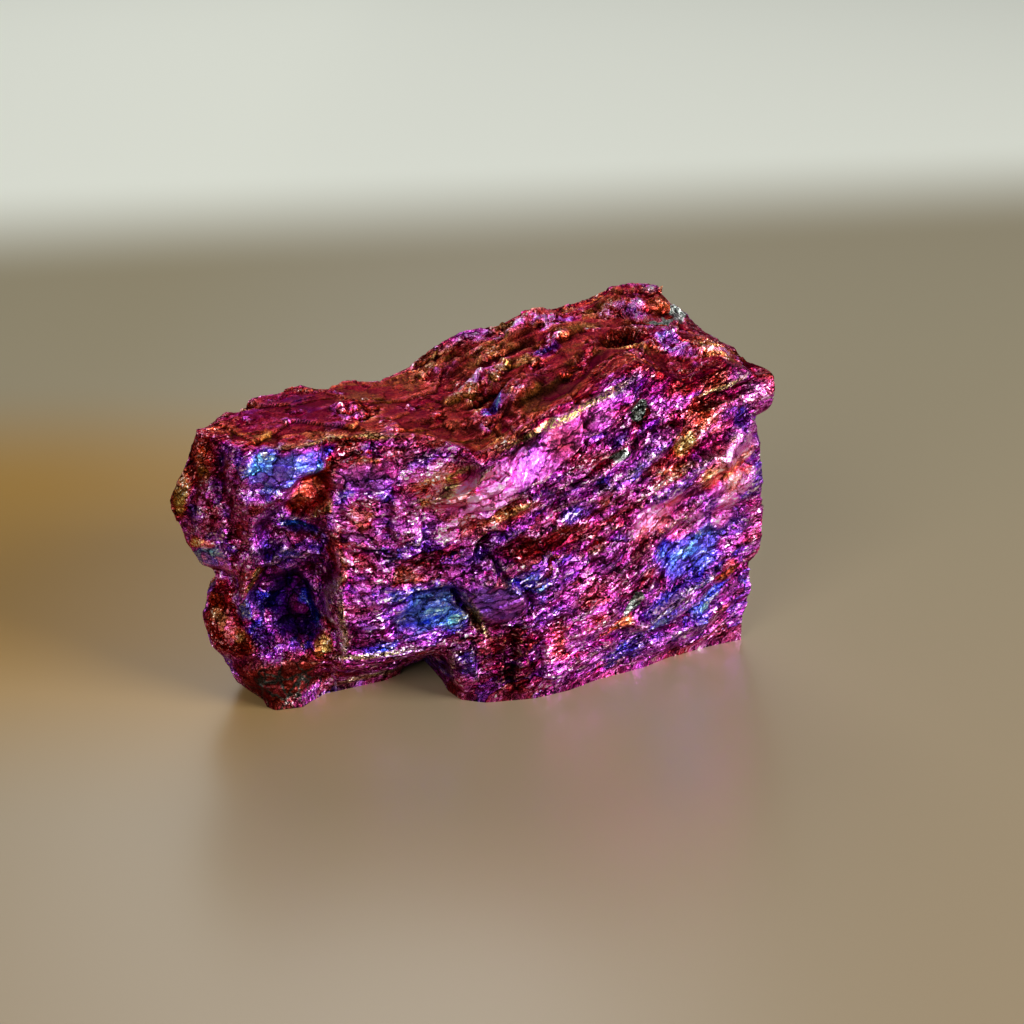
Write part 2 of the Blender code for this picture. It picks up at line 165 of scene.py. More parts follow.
def facets(place, size, seed, lean=(0, 0, 0)):
    """Breaks space into cells around scattered seeds, one seed to a cube of this size. Gives each point the height of
    its seed's tilted plane, from about -1 to 1, its seed's chance from 0 to 1, and how far it is inside its cell.
    lean is added to every plane's random slope."""
    place = place / size
    home = np.floor(place)
    nearest, second = np.full((2, len(place)), np.inf)
    height, chance = np.zeros((2, len(place)))
    for step in product((-1, 0, 1), repeat=3):
        cell = home + step
        away = place - cell - np.stack([lattice(cell, seed + turn) for turn in (1, 2, 3)], axis=1)
        slope = np.stack([lattice(cell, seed + turn) for turn in (4, 5, 6)], axis=1) - 0.5 + lean
        reach = (away**2).sum(1)
        own = lattice(cell, seed + 7)
        closer = reach < nearest
        height = np.where(closer, 0.9 * (own - 0.5) + 1.6 * (away * slope).sum(1), height)
        chance = np.where(closer, own, chance)
        second = np.where(closer, nearest, np.minimum(second, reach))
        nearest = np.minimum(nearest, reach)
    return height, chance, np.sqrt(second) - np.sqrt(nearest)


def chips(points, size, seed):
    """Only the height of the facets."""
    return facets(points, size, seed)[0]


print("noise at three places:", noise(np.eye(3) * 7.3, 5, 1).round(2), chips(np.eye(3) * 7.3, 5, 1).round(2))

# %% [markdown]
# Pits, knobs and ledges that can be pointed at are marks: ellipses on the front or the top, each with a turn, a
# height and a steepness. A steep mark has a flat top with a wall around it. Each number was set one by one, for one
# feature of the stone after the other. The front has the most of them.

# %% Marks on the front
# Each as (x, z, half length, half width, turn, height, steepness, lean). A mark is a rounded rectangle, turned by
# turn degrees, up to the right. A height under 0 is a hollow. Steepness 1 makes a cone-like swelling, and more makes
# a flat top with a wall around it. Lean tips the flat: at 1 it is twice as high along its upper side and level with
# the stone along its lower side, as a broken plate is, and at -1 the other way round.
FRONT_MARKS = (
    (-27, 33.2, 7.5, 2.6, 6, 0.6, 3, 0),  # blue face under the bench
    (-25.6, 19.5, 10.5, 5.2, 90, -1.7, 3, 0),  # tall recess of the left face
    (-23.6, 29.6, 4.6, 2.8, 35, -1.7, 2, -0.6),  # orange scoop over the recess
    (-26.5, 20.6, 3.8, 1, 5, 1, 3, 0),  # ledge across the recess
    (-25.6, 13.4, 5.4, 3.2, 100, -1.7, 1.6, 0),  # dark pocket low in the recess
    (-30.4, 19, 4.5, 1.2, 92, 0.4, 2.5, 0),  # rims of the recess
    (-20.6, 14, 7, 1, 88, 0.7, 3, 0),
    (-33.5, 31, 5.5, 0.9, 90, -0.6, 2, 0),  # upright grooves of the left corner
    (-37, 30.5, 6, 1, 90, -0.6, 2, 0),
    (-31.2, 31.5, 5, 0.9, 90, 0.6, 2, 0),
    (-27.8, 4.2, 6, 3.4, 12, 0.9, 3, 0.5),  # plain facet of the left foot
    (-16.5, 31.8, 4.5, 2.2, 4, 0.8, 4, 0.4),  # blocks between the recess and the slab
    (-15, 24.5, 5.5, 2.6, 4, 0.6, 4, -0.5),
    (-12, 26.5, 2.2, 3.2, 8, 0.9, 4, 0),
    (-16, 15, 4.5, 3.6, 10, 0.6, 4, -0.6),
    (-8.8, 31.8, 6, 2.2, 30, -1.2, 4, -0.8),  # wedge above the slab's lip
    (-4.8, 31, 6.5, 1.4, 27, 1.3, 3.5, 0.7),  # the slab's lip
    (6.5, 35.2, 15, 2.5, 29, 1.2, 3.5, -0.5),  # bright band under the long edge
    (16, 31.5, 10, 1.8, 24, 0.7, 3.5, 0.6),
    (11.5, 30.4, 15, 1.5, 25, -1, 2.5, 0),  # dark band
    (24, 28, 8.5, 2.2, 20, 0.9, 3.5, 0.5),
    (33.5, 31, 4.5, 3, 15, 0.9, 3.5, 0.3),
    (-2.2, 22.6, 3.2, 1.6, 40, -1.2, 2.5, 0.5),  # pit at the end of the dark band, and the crack under it
    (-1, 19.4, 2.6, 0.6, -60, -0.9, 3, 0),
    (5.5, 22, 9.5, 1.7, 3, -0.8, 3, -0.6),
    (-1.6, 15.2, 4.6, 3.4, -30, 1.5, 4, 0.3),  # dull facet with a crack at its left
    (-4.9, 13.6, 3.6, 0.6, -62, -1.6, 3, 0),
    (-10.2, 14, 5.6, 3.4, 16, -1, 3.5, 0.4),  # streaked blue hollow
    (5.2, 16.5, 3.4, 2.4, 80, 0.8, 3, 0),
    (-5.4, 5.6, 4.4, 1.7, 92, 1.1, 4, 0),  # violet block of the right foot
    (0.4, 6, 4.8, 1.1, 84, -1, 2.5, 0),  # red upright ribs
    (3.9, 6.2, 4.4, 1.3, 97, -0.8, 2.5, 0),
    (19.8, 13, 1.8, 1.5, 60, 1, 2, 0),  # round boss
    (18.4, 38.4, 2.3, 1.7, 50, -0.4, 2, 0),  # grey spot
    (28.4, 18.6, 8, 4.6, 16, -0.8, 3, 0.3),  # blue hollow on the right
    (25, 9.8, 9, 2.6, 20, 1.2, 3.5, 0.6),  # plates under it
    (28, 4.5, 9, 1.6, 14, 0.7, 3, 0.6),
    (12, 10.5, 5, 2.6, 14, 0.6, 3.5, 0.5),
    (10.5, 4.6, 6, 1.6, 10, 0.6, 3, 0.5),
    (31.4, 38.4, 6, 1.2, 8, -1.2, 3, 0),  # gap under the right-hand ledge
)
print("marks on the front:", len(FRONT_MARKS))

# %% [markdown]
# The top has fewer marks, because most of it is smooth: a knob, a crescent ridge, a cavity, a trough and the block of
# the peak. The outline's marks are in space, so they can reach around an edge.

# %% Marks on the top and in space
# Marks on the top, as (x, y, half length, half width, turn, height, steepness, lean).
TOP_MARKS = (
    (5.4, -7.2, 3.6, 3, 20, 2, 1.5, 0.3),  # blue-sided knob
    (2, 0.4, 6.4, 1.9, 20, 1.2, 1.6, 0.5),  # crescent ridge
    (2.6, -3.4, 4, 1.6, 20, -0.9, 2, 0),
    (21.6, -2.8, 4.6, 3.4, 20, -1.8, 1.5, 0),  # orange cavity
    (12.5, -8.5, 7.5, 3, 34, -0.8, 1.6, 0),  # smooth olive trough
    (13, 9.5, 6, 2, 14, 1.1, 1.8, 0.5),  # flakes along the back
    (8, 4.5, 5, 1.7, 15, -0.9, 1.8, 0),
    (16.5, 3.5, 5, 2.4, 20, 0.9, 1.6, 0.4),
    (28.2, 8.5, 5.6, 4.4, -10, 1.3, 2, 0),  # block of the peak
    (28.5, 1.8, 6, 2, -15, -1.1, 1.6, 0),
    (31, -7.5, 4.5, 2, 10, 0.9, 2.5, 0),
    (-15.2, 2.4, 3.2, 1.4, 15, 0.8, 2, 0),  # little ridge and pit of the bench
    (-14.4, -0.4, 2.4, 1.3, 15, -0.9, 2, 0),
    (-5, -8.5, 6, 3.4, -32, -0.6, 1.6, 0),
)
# Swellings and notches of the outline, as (x, y, z, reach in x, y and z, height, steepness).
OUTLINE_MARKS = (
    (-37.5, 0.5, 24.6, 7, 9, 8.5, 1.3, 1.5),  # cheek
    (-34.5, -1, 16.4, 4, 7, 2.5, -1.5, 1.6),  # notch under the cheek
    (-33.8, -1, 9.5, 4, 6, 4.5, 0.8, 1.6),
    (37.6, -12.4, 32.4, 3.2, 6, 2.4, -0.9, 1.8),  # dark notch on the right
    (38.4, -9, 36.8, 5, 6.5, 4, 1.8, 1.6),  # shoulder over it
    (37.8, -11, 11, 4, 6, 2.6, -0.9, 1.6),  # waist
    (-7, 18, 26, 12, 8, 6, -1.8, 1.6),  # hollows of the back
    (14, 18.5, 14, 9, 8, 6.5, -1.6, 1.6),
    (20, 18, 32, 10, 8, 5, 1.8, 1.8),
    (-22, 15, 11, 6, 8, 5, 1.4, 1.8),
    (-15, 15, 35.5, 3.5, 3, 3.5, -0.8, 1.8),  # chips off the edges
    (-28, 9, 35.5, 3, 3, 3, -0.8, 1.8),
    (35, 10, 24, 4, 5, 7, -1.6, 1.8),
    (36, -9, 24, 5, 4, 3, 0.8, 1.8),
)
print("marks on the top:", len(TOP_MARKS), "and in space:", len(OUTLINE_MARKS))

# %% [markdown]
# A mark becomes a height like this: the distance from its middle, counted so that its rim is at 1, is turned into a
# level that rises in an S-shaped curve from 0 at the rim. The faces' own marks are flat ones, in two coordinates,
# and the marks of the outline are worked out in space.

# %% From marks to heights
# How square a flat mark's corners are: 2 makes an ellipse, and large numbers make a rectangle.
CORNER = 2.6


def rise(reach, height, steepness):
    """A mark's height where reach is 0 at its middle and 1 at its rim: height times the level's S-shaped curve."""
    level = np.clip(steepness * (1 - reach), 0, 1)
    return height * level * level * (3 - 2 * level)


def flat_marks(across, up, marks):
    """The marks of one face, added up, from each point's place (across, up) on it. A mark's reach is the length and
    the width away from its middle, each raised to CORNER, added up, and the root taken."""
    total = np.zeros_like(across)
    for x, y, half_length, half_width, turn, height, steepness, lean in marks:
        cosine, sine = np.cos(np.radians(turn)), np.sin(np.radians(turn))
        length = (across - x) * cosine + (up - y) * sine
        width = ((up - y) * cosine - (across - x) * sine) / half_width
        reach = (abs(length / half_length) ** CORNER + abs(width) ** CORNER) ** (1 / CORNER)
        total += rise(reach, height, steepness) * (1 + lean * width)
    return total


def spots(across, up, marks):
    """Marks with no lean."""
    return flat_marks(across, up, [(*mark, 0.0) for mark in marks])


def outline_marks(points):
    """The marks in space, added up. Reach is the distance from the middle, in shares of the mark's three reaches."""
    total = np.zeros(len(points))
    for mark in OUTLINE_MARKS:
        centre, reaches, (height, steepness) = np.array(mark[:3]), np.array(mark[3:6]), mark[6:]
        total += rise(np.linalg.norm((points - centre) / reaches, axis=1), height, steepness)
    return total


print("a mark 1 mm high, from its middle to its rim:", rise(np.linspace(0, 1, 5), 1, 2).round(2))

# %% [markdown]
# The ore is made of sheets that lie in the front face and rise to the right, as pages do in a tilted book. Their
# direction gives the stone a second set of coordinates: along the sheets, across them, and into the stone. In these
# a ledge is simple. Each sheet swells towards its upper edge, and there it breaks off.

# %% The grain
# How steeply the sheets rise, in degrees, at the two places GRAIN_SPAN along the stone.
GRAIN_SLOPE, GRAIN_SPAN = (4, 25), (-30, 5)
# How far noise bends the sheets, and over what distance.
BEND, BEND_SIZE = 2.2, 14
# How thick a sheet is, and how far its ledge stands out.
SHEET, LEDGE = 5.2, 0.6


def grain_place(points):
    """The grain's own coordinates in millimetres: x and z turned by the slope, the noise added, and y."""
    slope = np.radians(np.interp(points[:, 0], GRAIN_SPAN, GRAIN_SLOPE))
    along = points[:, 0] * np.cos(slope) + points[:, 2] * np.sin(slope)
    across = points[:, 2] * np.cos(slope) - points[:, 0] * np.sin(slope)
    return np.stack([along, across + BEND * noise(points, BEND_SIZE, 5), points[:, 1]], axis=1)


def upright_place(points):
    """Coordinates for the grooves of the left end, which run up the stone."""
    return np.stack([points[:, 2], points[:, 0] + 0.6 * points[:, 1], points[:, 1]], axis=1)


def grain(points):
    """Ledges: LEDGE times how far through its sheet a point is, from -0.5 to 0.5, times a slow noise."""
    sheet_number = grain_place(points)[:, 1] / SHEET
    return LEDGE * (sheet_number - np.floor(sheet_number) - 0.5) * (0.6 + 0.4 * noise(points, 9, 6))


print("the sheets rise by", GRAIN_SLOPE, "degrees at x =", GRAIN_SPAN, "mm")

# %% [markdown]
# Relief is how far a point of the loft moves out. It is the marks of the face that the point lies on, smooth lumps,
# coarse chips and the ledges of the grain. The solid stone was made by the same sum, which is why the two agree. The
# lump rests on two feet, so the relief dies away towards the ground, and the sole is flat there.

# %% The coarse relief
# The middle of the drawn outline in x and y, which is set over the origin.
MIDDLE = (0.26, -0.30)
# Points lower than SOLE_BAND lie on the ground, and the relief is full from ROUGH_FROM above the ground.
SOLE_BAND, ROUGH_FROM = 0.7, 4.0
# How strongly the block's outward direction keeps to one face, away from its edges.
SQUARENESS = 5
# How far the outlines of the marks stray.
RAGGED = 0.9
# Roughness in layers, each as (size across, how far it stands out or sinks in).
LUMPS = ((13, 0.7), (6, 0.35))
CHIPS = ((11, 0.9), (5, 0.6))
# Smooth stretches of the top, as marks whose height is the share of the roughness that they lose.
CALM_MARKS = (
    (-22, 5, 24, 14, 0, 0.7, 1.8),
    (15, 2, 19, 14, 10, 0.6, 1.6),
    (12.5, -9, 11, 4.4, 32, 0.8, 2),
    (-4, -6, 9, 6, -20, 0.6, 1.6),
)


def outward_of(shares):
    """The way out of the stone: square to each face of the block, and turning smoothly over its edges."""
    way = (2 * shares - 1) ** SQUARENESS
    return way / np.linalg.norm(way, axis=1)[:, None]


def on_front(outward):
    """1 on the front, and falling to 0 where the stone turns away from it."""
    return np.clip(-3 * outward[:, 1] - 0.75, 0, 1)


def inside_top(outward):
    """1 on the top, away from its edges."""
    return np.clip(5 * outward[:, 2] - 4, 0, 1)


def near_edge(outward):
    """0 in the middle of a face of the block, and more where two or three faces meet."""
    return 1 - abs(outward).max(1)


def ragged(points, amount):
    """The points moved about by noise, amount at most, so that what is drawn at the result has ragged outlines."""
    sway = [noise(points, 5, seed) + 0.5 * noise(points, 2.2, seed + 1) for seed in (61, 63, 65)]
    return points + amount * np.stack(sway, axis=1)


def relief(points, outward):
    """How far each point stands out from the loft: the marks, and what is left of lumps, chips and ledges where the
    stone is calm, all times a share that is 0 on the ground."""
    front, top = on_front(outward), np.clip(3 * outward[:, 2] - 0.75, 0, 1)
    x, y, z = ragged(points, RAGGED).T
    height = front * flat_marks(x, z, FRONT_MARKS) + top * flat_marks(x, y, TOP_MARKS)
    height += outline_marks(points)
    calm = inside_top(outward) * spots(points[:, 0], points[:, 1], CALM_MARKS).clip(0, 0.85)
    rough = sum(amount * noise(points, size, size) for size, amount in LUMPS)
    chipped = sum(amount * chips(points, size, size) for size, amount in CHIPS)
    chipped *= (1 - 1.6 * near_edge(outward)) * (1 - 0.6 * front)
    ledges = (1 - top) * (1 - 0.7 * abs(outward[:, 0])) * grain(points)
    height += (1 - calm) * (rough + chipped + ledges)
    return height * np.clip(points[:, 2] / ROUGH_FROM, 0, 1)


print("relief in the middle of the top, mm:", relief(loft_points(*top_middle.T), outward_of(top_middle)).round(2))

# %% [markdown]
# The coarse relief is the same as in the solid stone. What a solid of a few thousand triangles can't hold is the fine
# grain: plates of ore a millimetre or two thick, which overlap like roof tiles. Not every face breaks into them.
# The front and the back are plates, the left end has upright grooves, the right end and parts of the top are chips,
# and the bench and the trough on top are nearly smooth. Weights between 0 and 1 say how much of each kind there is.

# %% Which way each place broke
# Stretches of the front that broke flat, as marks whose height is the share of the fine relief that they lose.
FLAT_MARKS = (
    (5, 35.2, 14, 3, 30, 0.8, 2.5),  # slab
    (-3.6, 30.2, 6, 3, 28, 0.8, 2.5),
    (-26, 33.4, 6, 2.6, 6, 0.6, 2),  # blue under the bench
    (-9.4, 13.8, 5, 3.2, 20, 0.6, 2.5),  # blue hollow in the middle
    (-1.6, 15.2, 4.4, 3.2, -30, 0.8, 3),  # dull facet
    (-27.8, 4.2, 6, 3.4, 12, 0.7, 2),  # left foot
    (-23.4, 29.4, 4.2, 2.8, 35, 0.6, 2),  # orange scoop
    (-25.6, 13.6, 5.2, 3, 100, 0.7, 2),  # pocket
    (-16.2, 31.6, 4.4, 2.2, 6, 0.6, 2.5),  # magenta block
    (26.6, 17.4, 6.4, 4.2, 12, 0.5, 2),  # blue hollow on the right
    (32.8, 26.8, 6, 4, 70, 0.55, 2.5),  # pink plates of the right edge
    (21.2, 23.8, 5.2, 2.4, 22, 0.7, 2),
)
# The top has a skin that hides its grain. These are the places where the skin is broken, up to 1 where it is gone.
BROKEN_MARKS = (
    (8, 11.5, 7, 2.6, -25, 1, 2),  # flakes along the back
    (16.5, 8, 4.6, 2, 5, 0.9, 2),
    (25, 6, 5.4, 2.6, -20, 1, 2),  # under the peak
    (27.6, -5.6, 5.6, 3, -80, 1, 2),  # right of the cavity
    (32, -7.5, 4.6, 3, 10, 1, 2),
    (12, 0, 2.8, 1.8, 10, 0.8, 2),  # dark pit
    (2, 0.6, 7, 1.6, 20, 0.9, 2),  # crescent
    (2.6, -6, 4, 3, 20, 0.8, 2),  # knob
    (21.6, -2.6, 5, 3.6, 20, 1, 2),  # orange cavity
    (-14.6, 0.6, 4.4, 3, 15, 0.9, 2),  # little pit of the bench
    (-2, 11, 5, 3, 30, 0.8, 1.6),
    (-22, -4.6, 8, 1.6, 0, 0.5, 1.6),  # the bench's front edge
    (-30, 6, 4, 3, 40, 0.7, 1.6),
)


def smoothness(points, outward):
    """How much of the grain the skin hides: most on the calm stretches of the top, less by the share of broken and
    of scattered bare places, and nothing below the top."""
    across, up = ragged(points, 1.5)[:, :2].T
    calm = 0.6 + 0.4 * spots(across, up, CALM_MARKS).clip(0, 1)
    to_the_right = np.clip((points[:, 0] + 2) / 14, 0, 1)
    scattered = np.clip(4 * noise(points, 2.4, 71) - 1.6 + 1.4 * to_the_right, 0, 0.85)
    return inside_top(outward) * calm * (1 - spots(across, up, BROKEN_MARKS).clip(0, 1)) * (1 - scattered)


def platiness(points, outward):
    """1 where plates show: on the front and the back, fading into the top and into the two ends."""
    sides = np.clip(2 * abs(outward[:, 1]) - 0.4, 0, 1)
    return sides * np.clip((points[:, 0] + 33) / 10, 0.15, 1)


def grooviness(points, outward):
    """1 on the upper part of the left end, as the product of how far left, how far up and how upright a place is."""
    left = np.clip((-29.5 - points[:, 0]) / 3, 0, 1)
    return left * np.clip((points[:, 2] - 20) / 4, 0, 1) * np.clip(1 - 2 * outward[:, 2], 0, 1)


def flatness(points, outward):
    """How flat the front broke at each point, from 0 to 0.8."""
    return on_front(outward) * spots(points[:, 0], points[:, 2], FLAT_MARKS).clip(0, 0.8)


print("flat stretches:", len(FLAT_MARKS), "and places where the skin is broken:", len(BROKEN_MARKS))

# %% [markdown]
# Plates, grooves and chips are all facets, in layers of falling size. Only the coordinates differ. Squeezing the one
# that runs along the sheets makes the facets long, and a lean towards the ground makes every lower edge stand out.
# Each facet's chance also goes into the tone, so that neighbouring plates are lighter and darker.

# %% Plates, grooves and chips
# Each layer as (size across, height, share of its chance in the tone).
PLATE_SIZES = ((3.4, 0.26, 0.15), (1.7, 0.24, 0.35), (0.9, 0.18, 0.5))
CHIP_SIZES = ((4.5, 0.32, 0.1), (2.2, 0.24, 0.45), (1.1, 0.18, 0.7))
GROOVE_SIZES = ((1.8, 0.8, 0.5), (0.9, 0.3, 0.7))
SQUEEZE, LEAN = (0.34, 1.0, 0.6), (0.0, -0.45, 0.0)
# Facets larger than WIDE have gaps between them that are dark, and GAP is how wide those gaps are.
WIDE, GAP = 1.5, 0.35


def layered(place, layers, seed, lean=(0, 0, 0)):
    """Adds layers of facets. Gives their height, their tone around 0, and how near a point is to a wide gap."""
    height, tone, gap = 0, 0, 1
    for size, amount, share in layers:
        level, chance, inside = facets(place, size, seed + size, lean)
        height = height + amount * level
        tone = tone + share * (chance - 0.45)
        gap = np.minimum(gap, inside * size / GAP) if size > WIDE else gap
    return height, tone, 1 - gap


def fine_relief(points, outward):
    """Height, tone and gap of the fine relief: plates and chips blended by platiness, then grooves by grooviness.
    The height is less near edges, on the ends and near the ground, and all three are less where it is flat or calm."""
    plate = layered(grain_place(points) * SQUEEZE, PLATE_SIZES, 20, LEAN)
    chip = layered(points, CHIP_SIZES, 30)
    groove = layered(upright_place(points) * SQUEEZE, GROOVE_SIZES, 40)
    calm, platy, grooved = (kind(points, outward) for kind in (smoothness, platiness, grooviness))
    height, tone, gap = (platy * p + (1 - platy) * c for p, c in zip(plate, chip))
    height, tone, gap = (grooved * g + (1 - grooved) * v for g, v in zip(groove, (height, tone, gap)))
    flat = flatness(points, outward)
    strength = (1 + 0.35 * outward[:, 2].clip(0, 1)) * (1 - 1.5 * near_edge(outward))
    height *= strength * (1 - 0.6 * abs(outward[:, 0])) * np.clip(points[:, 2] / 2, 0, 1)
    height, tone, gap = (1 - flat) * height, (1 - 0.7 * flat) * tone, (1 - flat) * gap
    return [(1 - 0.94 * calm) * value for value in (height, tone, gap)]


print("fine layers:", len(PLATE_SIZES), "of plates,", len(CHIP_SIZES), "of chips,", len(GROOVE_SIZES), "of grooves")

# %% [markdown]
# Now the surface itself, as a function of two parameters on one grid. It is blown up like a balloon: the rows start
# at a pole in the middle of the left end, spread out over that end, run along the stone as rings, and close on a pole
# in the middle of the right end. Each ring goes up the front, back over the top, down the back and forward along the
# sole. The front gets the most columns, because that is where the grain is.

# %% The grid of shares
ROWS_ALONG, ROWS_ON_END = 238, 28
COLUMNS = {"front": 136, "top": 88, "back": 60, "sole": 38}


def ring_shares():
    """Once around the block's cross-section, as shares (inward, upward) of its depth and height."""
    f, t, b, s = (np.arange(count) / count for count in COLUMNS.values())
    inward = np.concatenate([0 * f, t, 0 * b + 1, 1 - s])
    upward = np.concatenate([f, 0 * t + 1, 1 - b, 0 * s])
    return inward, upward


def balloon_shares():
    """Rows by columns of shares. On an end, a row is the ring drawn in towards the middle of that end."""
    spread = np.arange(1, ROWS_ON_END) / ROWS_ON_END
    reach = np.concatenate([spread, np.ones(ROWS_ALONG + 1), spread[::-1]])
    along = np.concatenate([0 * spread, np.linspace(0, 1, ROWS_ALONG + 1), 0 * spread + 1])
    inward, upward = ring_shares()
    across = [0.5 + reach[:, None] * (share - 0.5) for share in (inward, upward)]
    return np.stack([np.broadcast_to(along[:, None], across[0].shape), *across], axis=-1)


rows = balloon_shares()
shape = rows.shape[:2]
shares = np.concatenate([rows.reshape(-1, 3), [[0, 0.5, 0.5], [1, 0.5, 0.5]]])
print("grid:", shape[0], "rows of", shape[1], "columns and two poles")

# %% [markdown]
# The points move twice. The coarse relief turns the loft into the stone's body, and the fine relief, worked out on
# that body, moves each point once more. What is then lower than SOLE_BAND is set on the ground.

# %% The points
loft = loft_points(*shares.T)
outward = outward_of(shares)
coarse = relief(loft, outward)
body = loft + coarse[:, None] * outward
fine, plate_tone, gap = fine_relief(body, outward)
points = body + fine[:, None] * outward
points[points[:, 2] < SOLE_BAND, 2] = 0
print("stone, mm:", (points.max(0) - points.min(0)).round(1), "fine relief:", fine.std().round(2))

# %% [markdown]
# The faces join each grid point to the next in its row and column. The last column joins the first, which closes the
# ring, and a fan of triangles closes each pole. Adding up the volume under every face shows whether they face out.

# %% The mesh
def grid_faces(shape):
    """Quads between the rows, with the columns wrapped, and the two fans."""
    ids = np.arange(shape[0] * shape[1]).reshape(shape)
    ids = np.concatenate([ids, ids[:, :1]], axis=1)
    quads = np.stack([ids[:-1, :-1], ids[:-1, 1:], ids[1:, 1:], ids[1:, :-1]], axis=-1).reshape(-1, 4)
    left, right = shape[0] * shape[1], shape[0] * shape[1] + 1
    first = np.stack([ids[0, 1:], ids[0, :-1], np.full(shape[1], left)], axis=-1)
    last = np.stack([ids[-1, :-1], ids[-1, 1:], np.full(shape[1], right)], axis=-1)
    return quads, np.concatenate([first, last])


def make_mesh(name, points, quads, triangles):
    """A mesh out of whole arrays: the points in metres, the corners of all faces in one row, and for each face the
    place in that row where its corners start."""
    mesh = bpy.data.meshes.new(name)
    mesh.vertices.add(len(points))
    mesh.vertices.foreach_set("co", (points * MM).astype(np.float32).ravel())
    corners = np.concatenate([quads.ravel(), triangles.ravel()])
    mesh.loops.add(len(corners))
    mesh.loops.foreach_set("vertex_index", corners.astype(np.int32))
    starts = np.concatenate([4 * np.arange(len(quads)), quads.size + 3 * np.arange(len(triangles))])
    mesh.polygons.add(len(starts))
    mesh.polygons.foreach_set("loop_start", starts.astype(np.int32))
    mesh.update(calc_edges=True)
    mesh.validate()
    return mesh


def volume(points, quads, triangles):
    """The sum, over all triangles, of a sixth of the box that its three corners span, seen from the origin."""
    split = np.concatenate([quads[:, [0, 1, 2]], quads[:, [0, 2, 3]], triangles])
    a, b, c = (points[split[:, corner]] for corner in range(3))
    return (a * np.cross(b, c)).sum() / 6


quads, triangles = grid_faces(shape)
placed = points - (*MIDDLE, 0)
mesh = make_mesh("peacock_ore_skin", placed, quads, triangles)
print("volume, cubic cm:", round(volume(placed, quads, triangles) / 1000, 1), "(over 0 means facing out)")
print("triangles:", 2 * len(quads) + len(triangles))

# %% [markdown]
# Hollows between the plates are painted darker, as painted shade where light reaches them last. Edges that stand
# proud are painted brighter, partly as rubbed metal and partly as a painted highlight. Both follow from one number:
# how far a point lies above the average of its neighbours on the grid.

# %% Hollows and crests
def blurred(height, times):
    """The average over about times neighbours each way. Columns wrap around the ring, and rows stop at the ends."""
    for _ in range(times):
        padded = np.concatenate([height[:1], height, height[-1:]])
        height = (padded[:-2] + 2 * height + padded[2:]) / 4
        height = (np.roll(height, 1, axis=1) + 2 * height + np.roll(height, -1, axis=1)) / 4
    return height


def standing(height, times):
    """How far each point is above its neighbourhood, with 0 at the poles."""
    grid = height[:-2].reshape(shape)
    return np.concatenate([(grid - blurred(grid, times)).ravel(), [0, 0]])


total_relief = coarse + fine
near = standing(total_relief, 3)
wide = standing(total_relief, 24)
print("above the neighbours, mm:", near.std().round(3), "near,", wide.std().round(3), "wide")

# %% [markdown]
# Two numbers paint the stone. The film's thickness runs from 0, gold, through magenta at 0.4 to blue at 0.8, and the
# tone says how much light a place sends back. Patches are painted one over the other, each with its own film and tone:
# a patch is a mark that is 1 in its middle and 0 outside, and its outline is made ragged by noise.

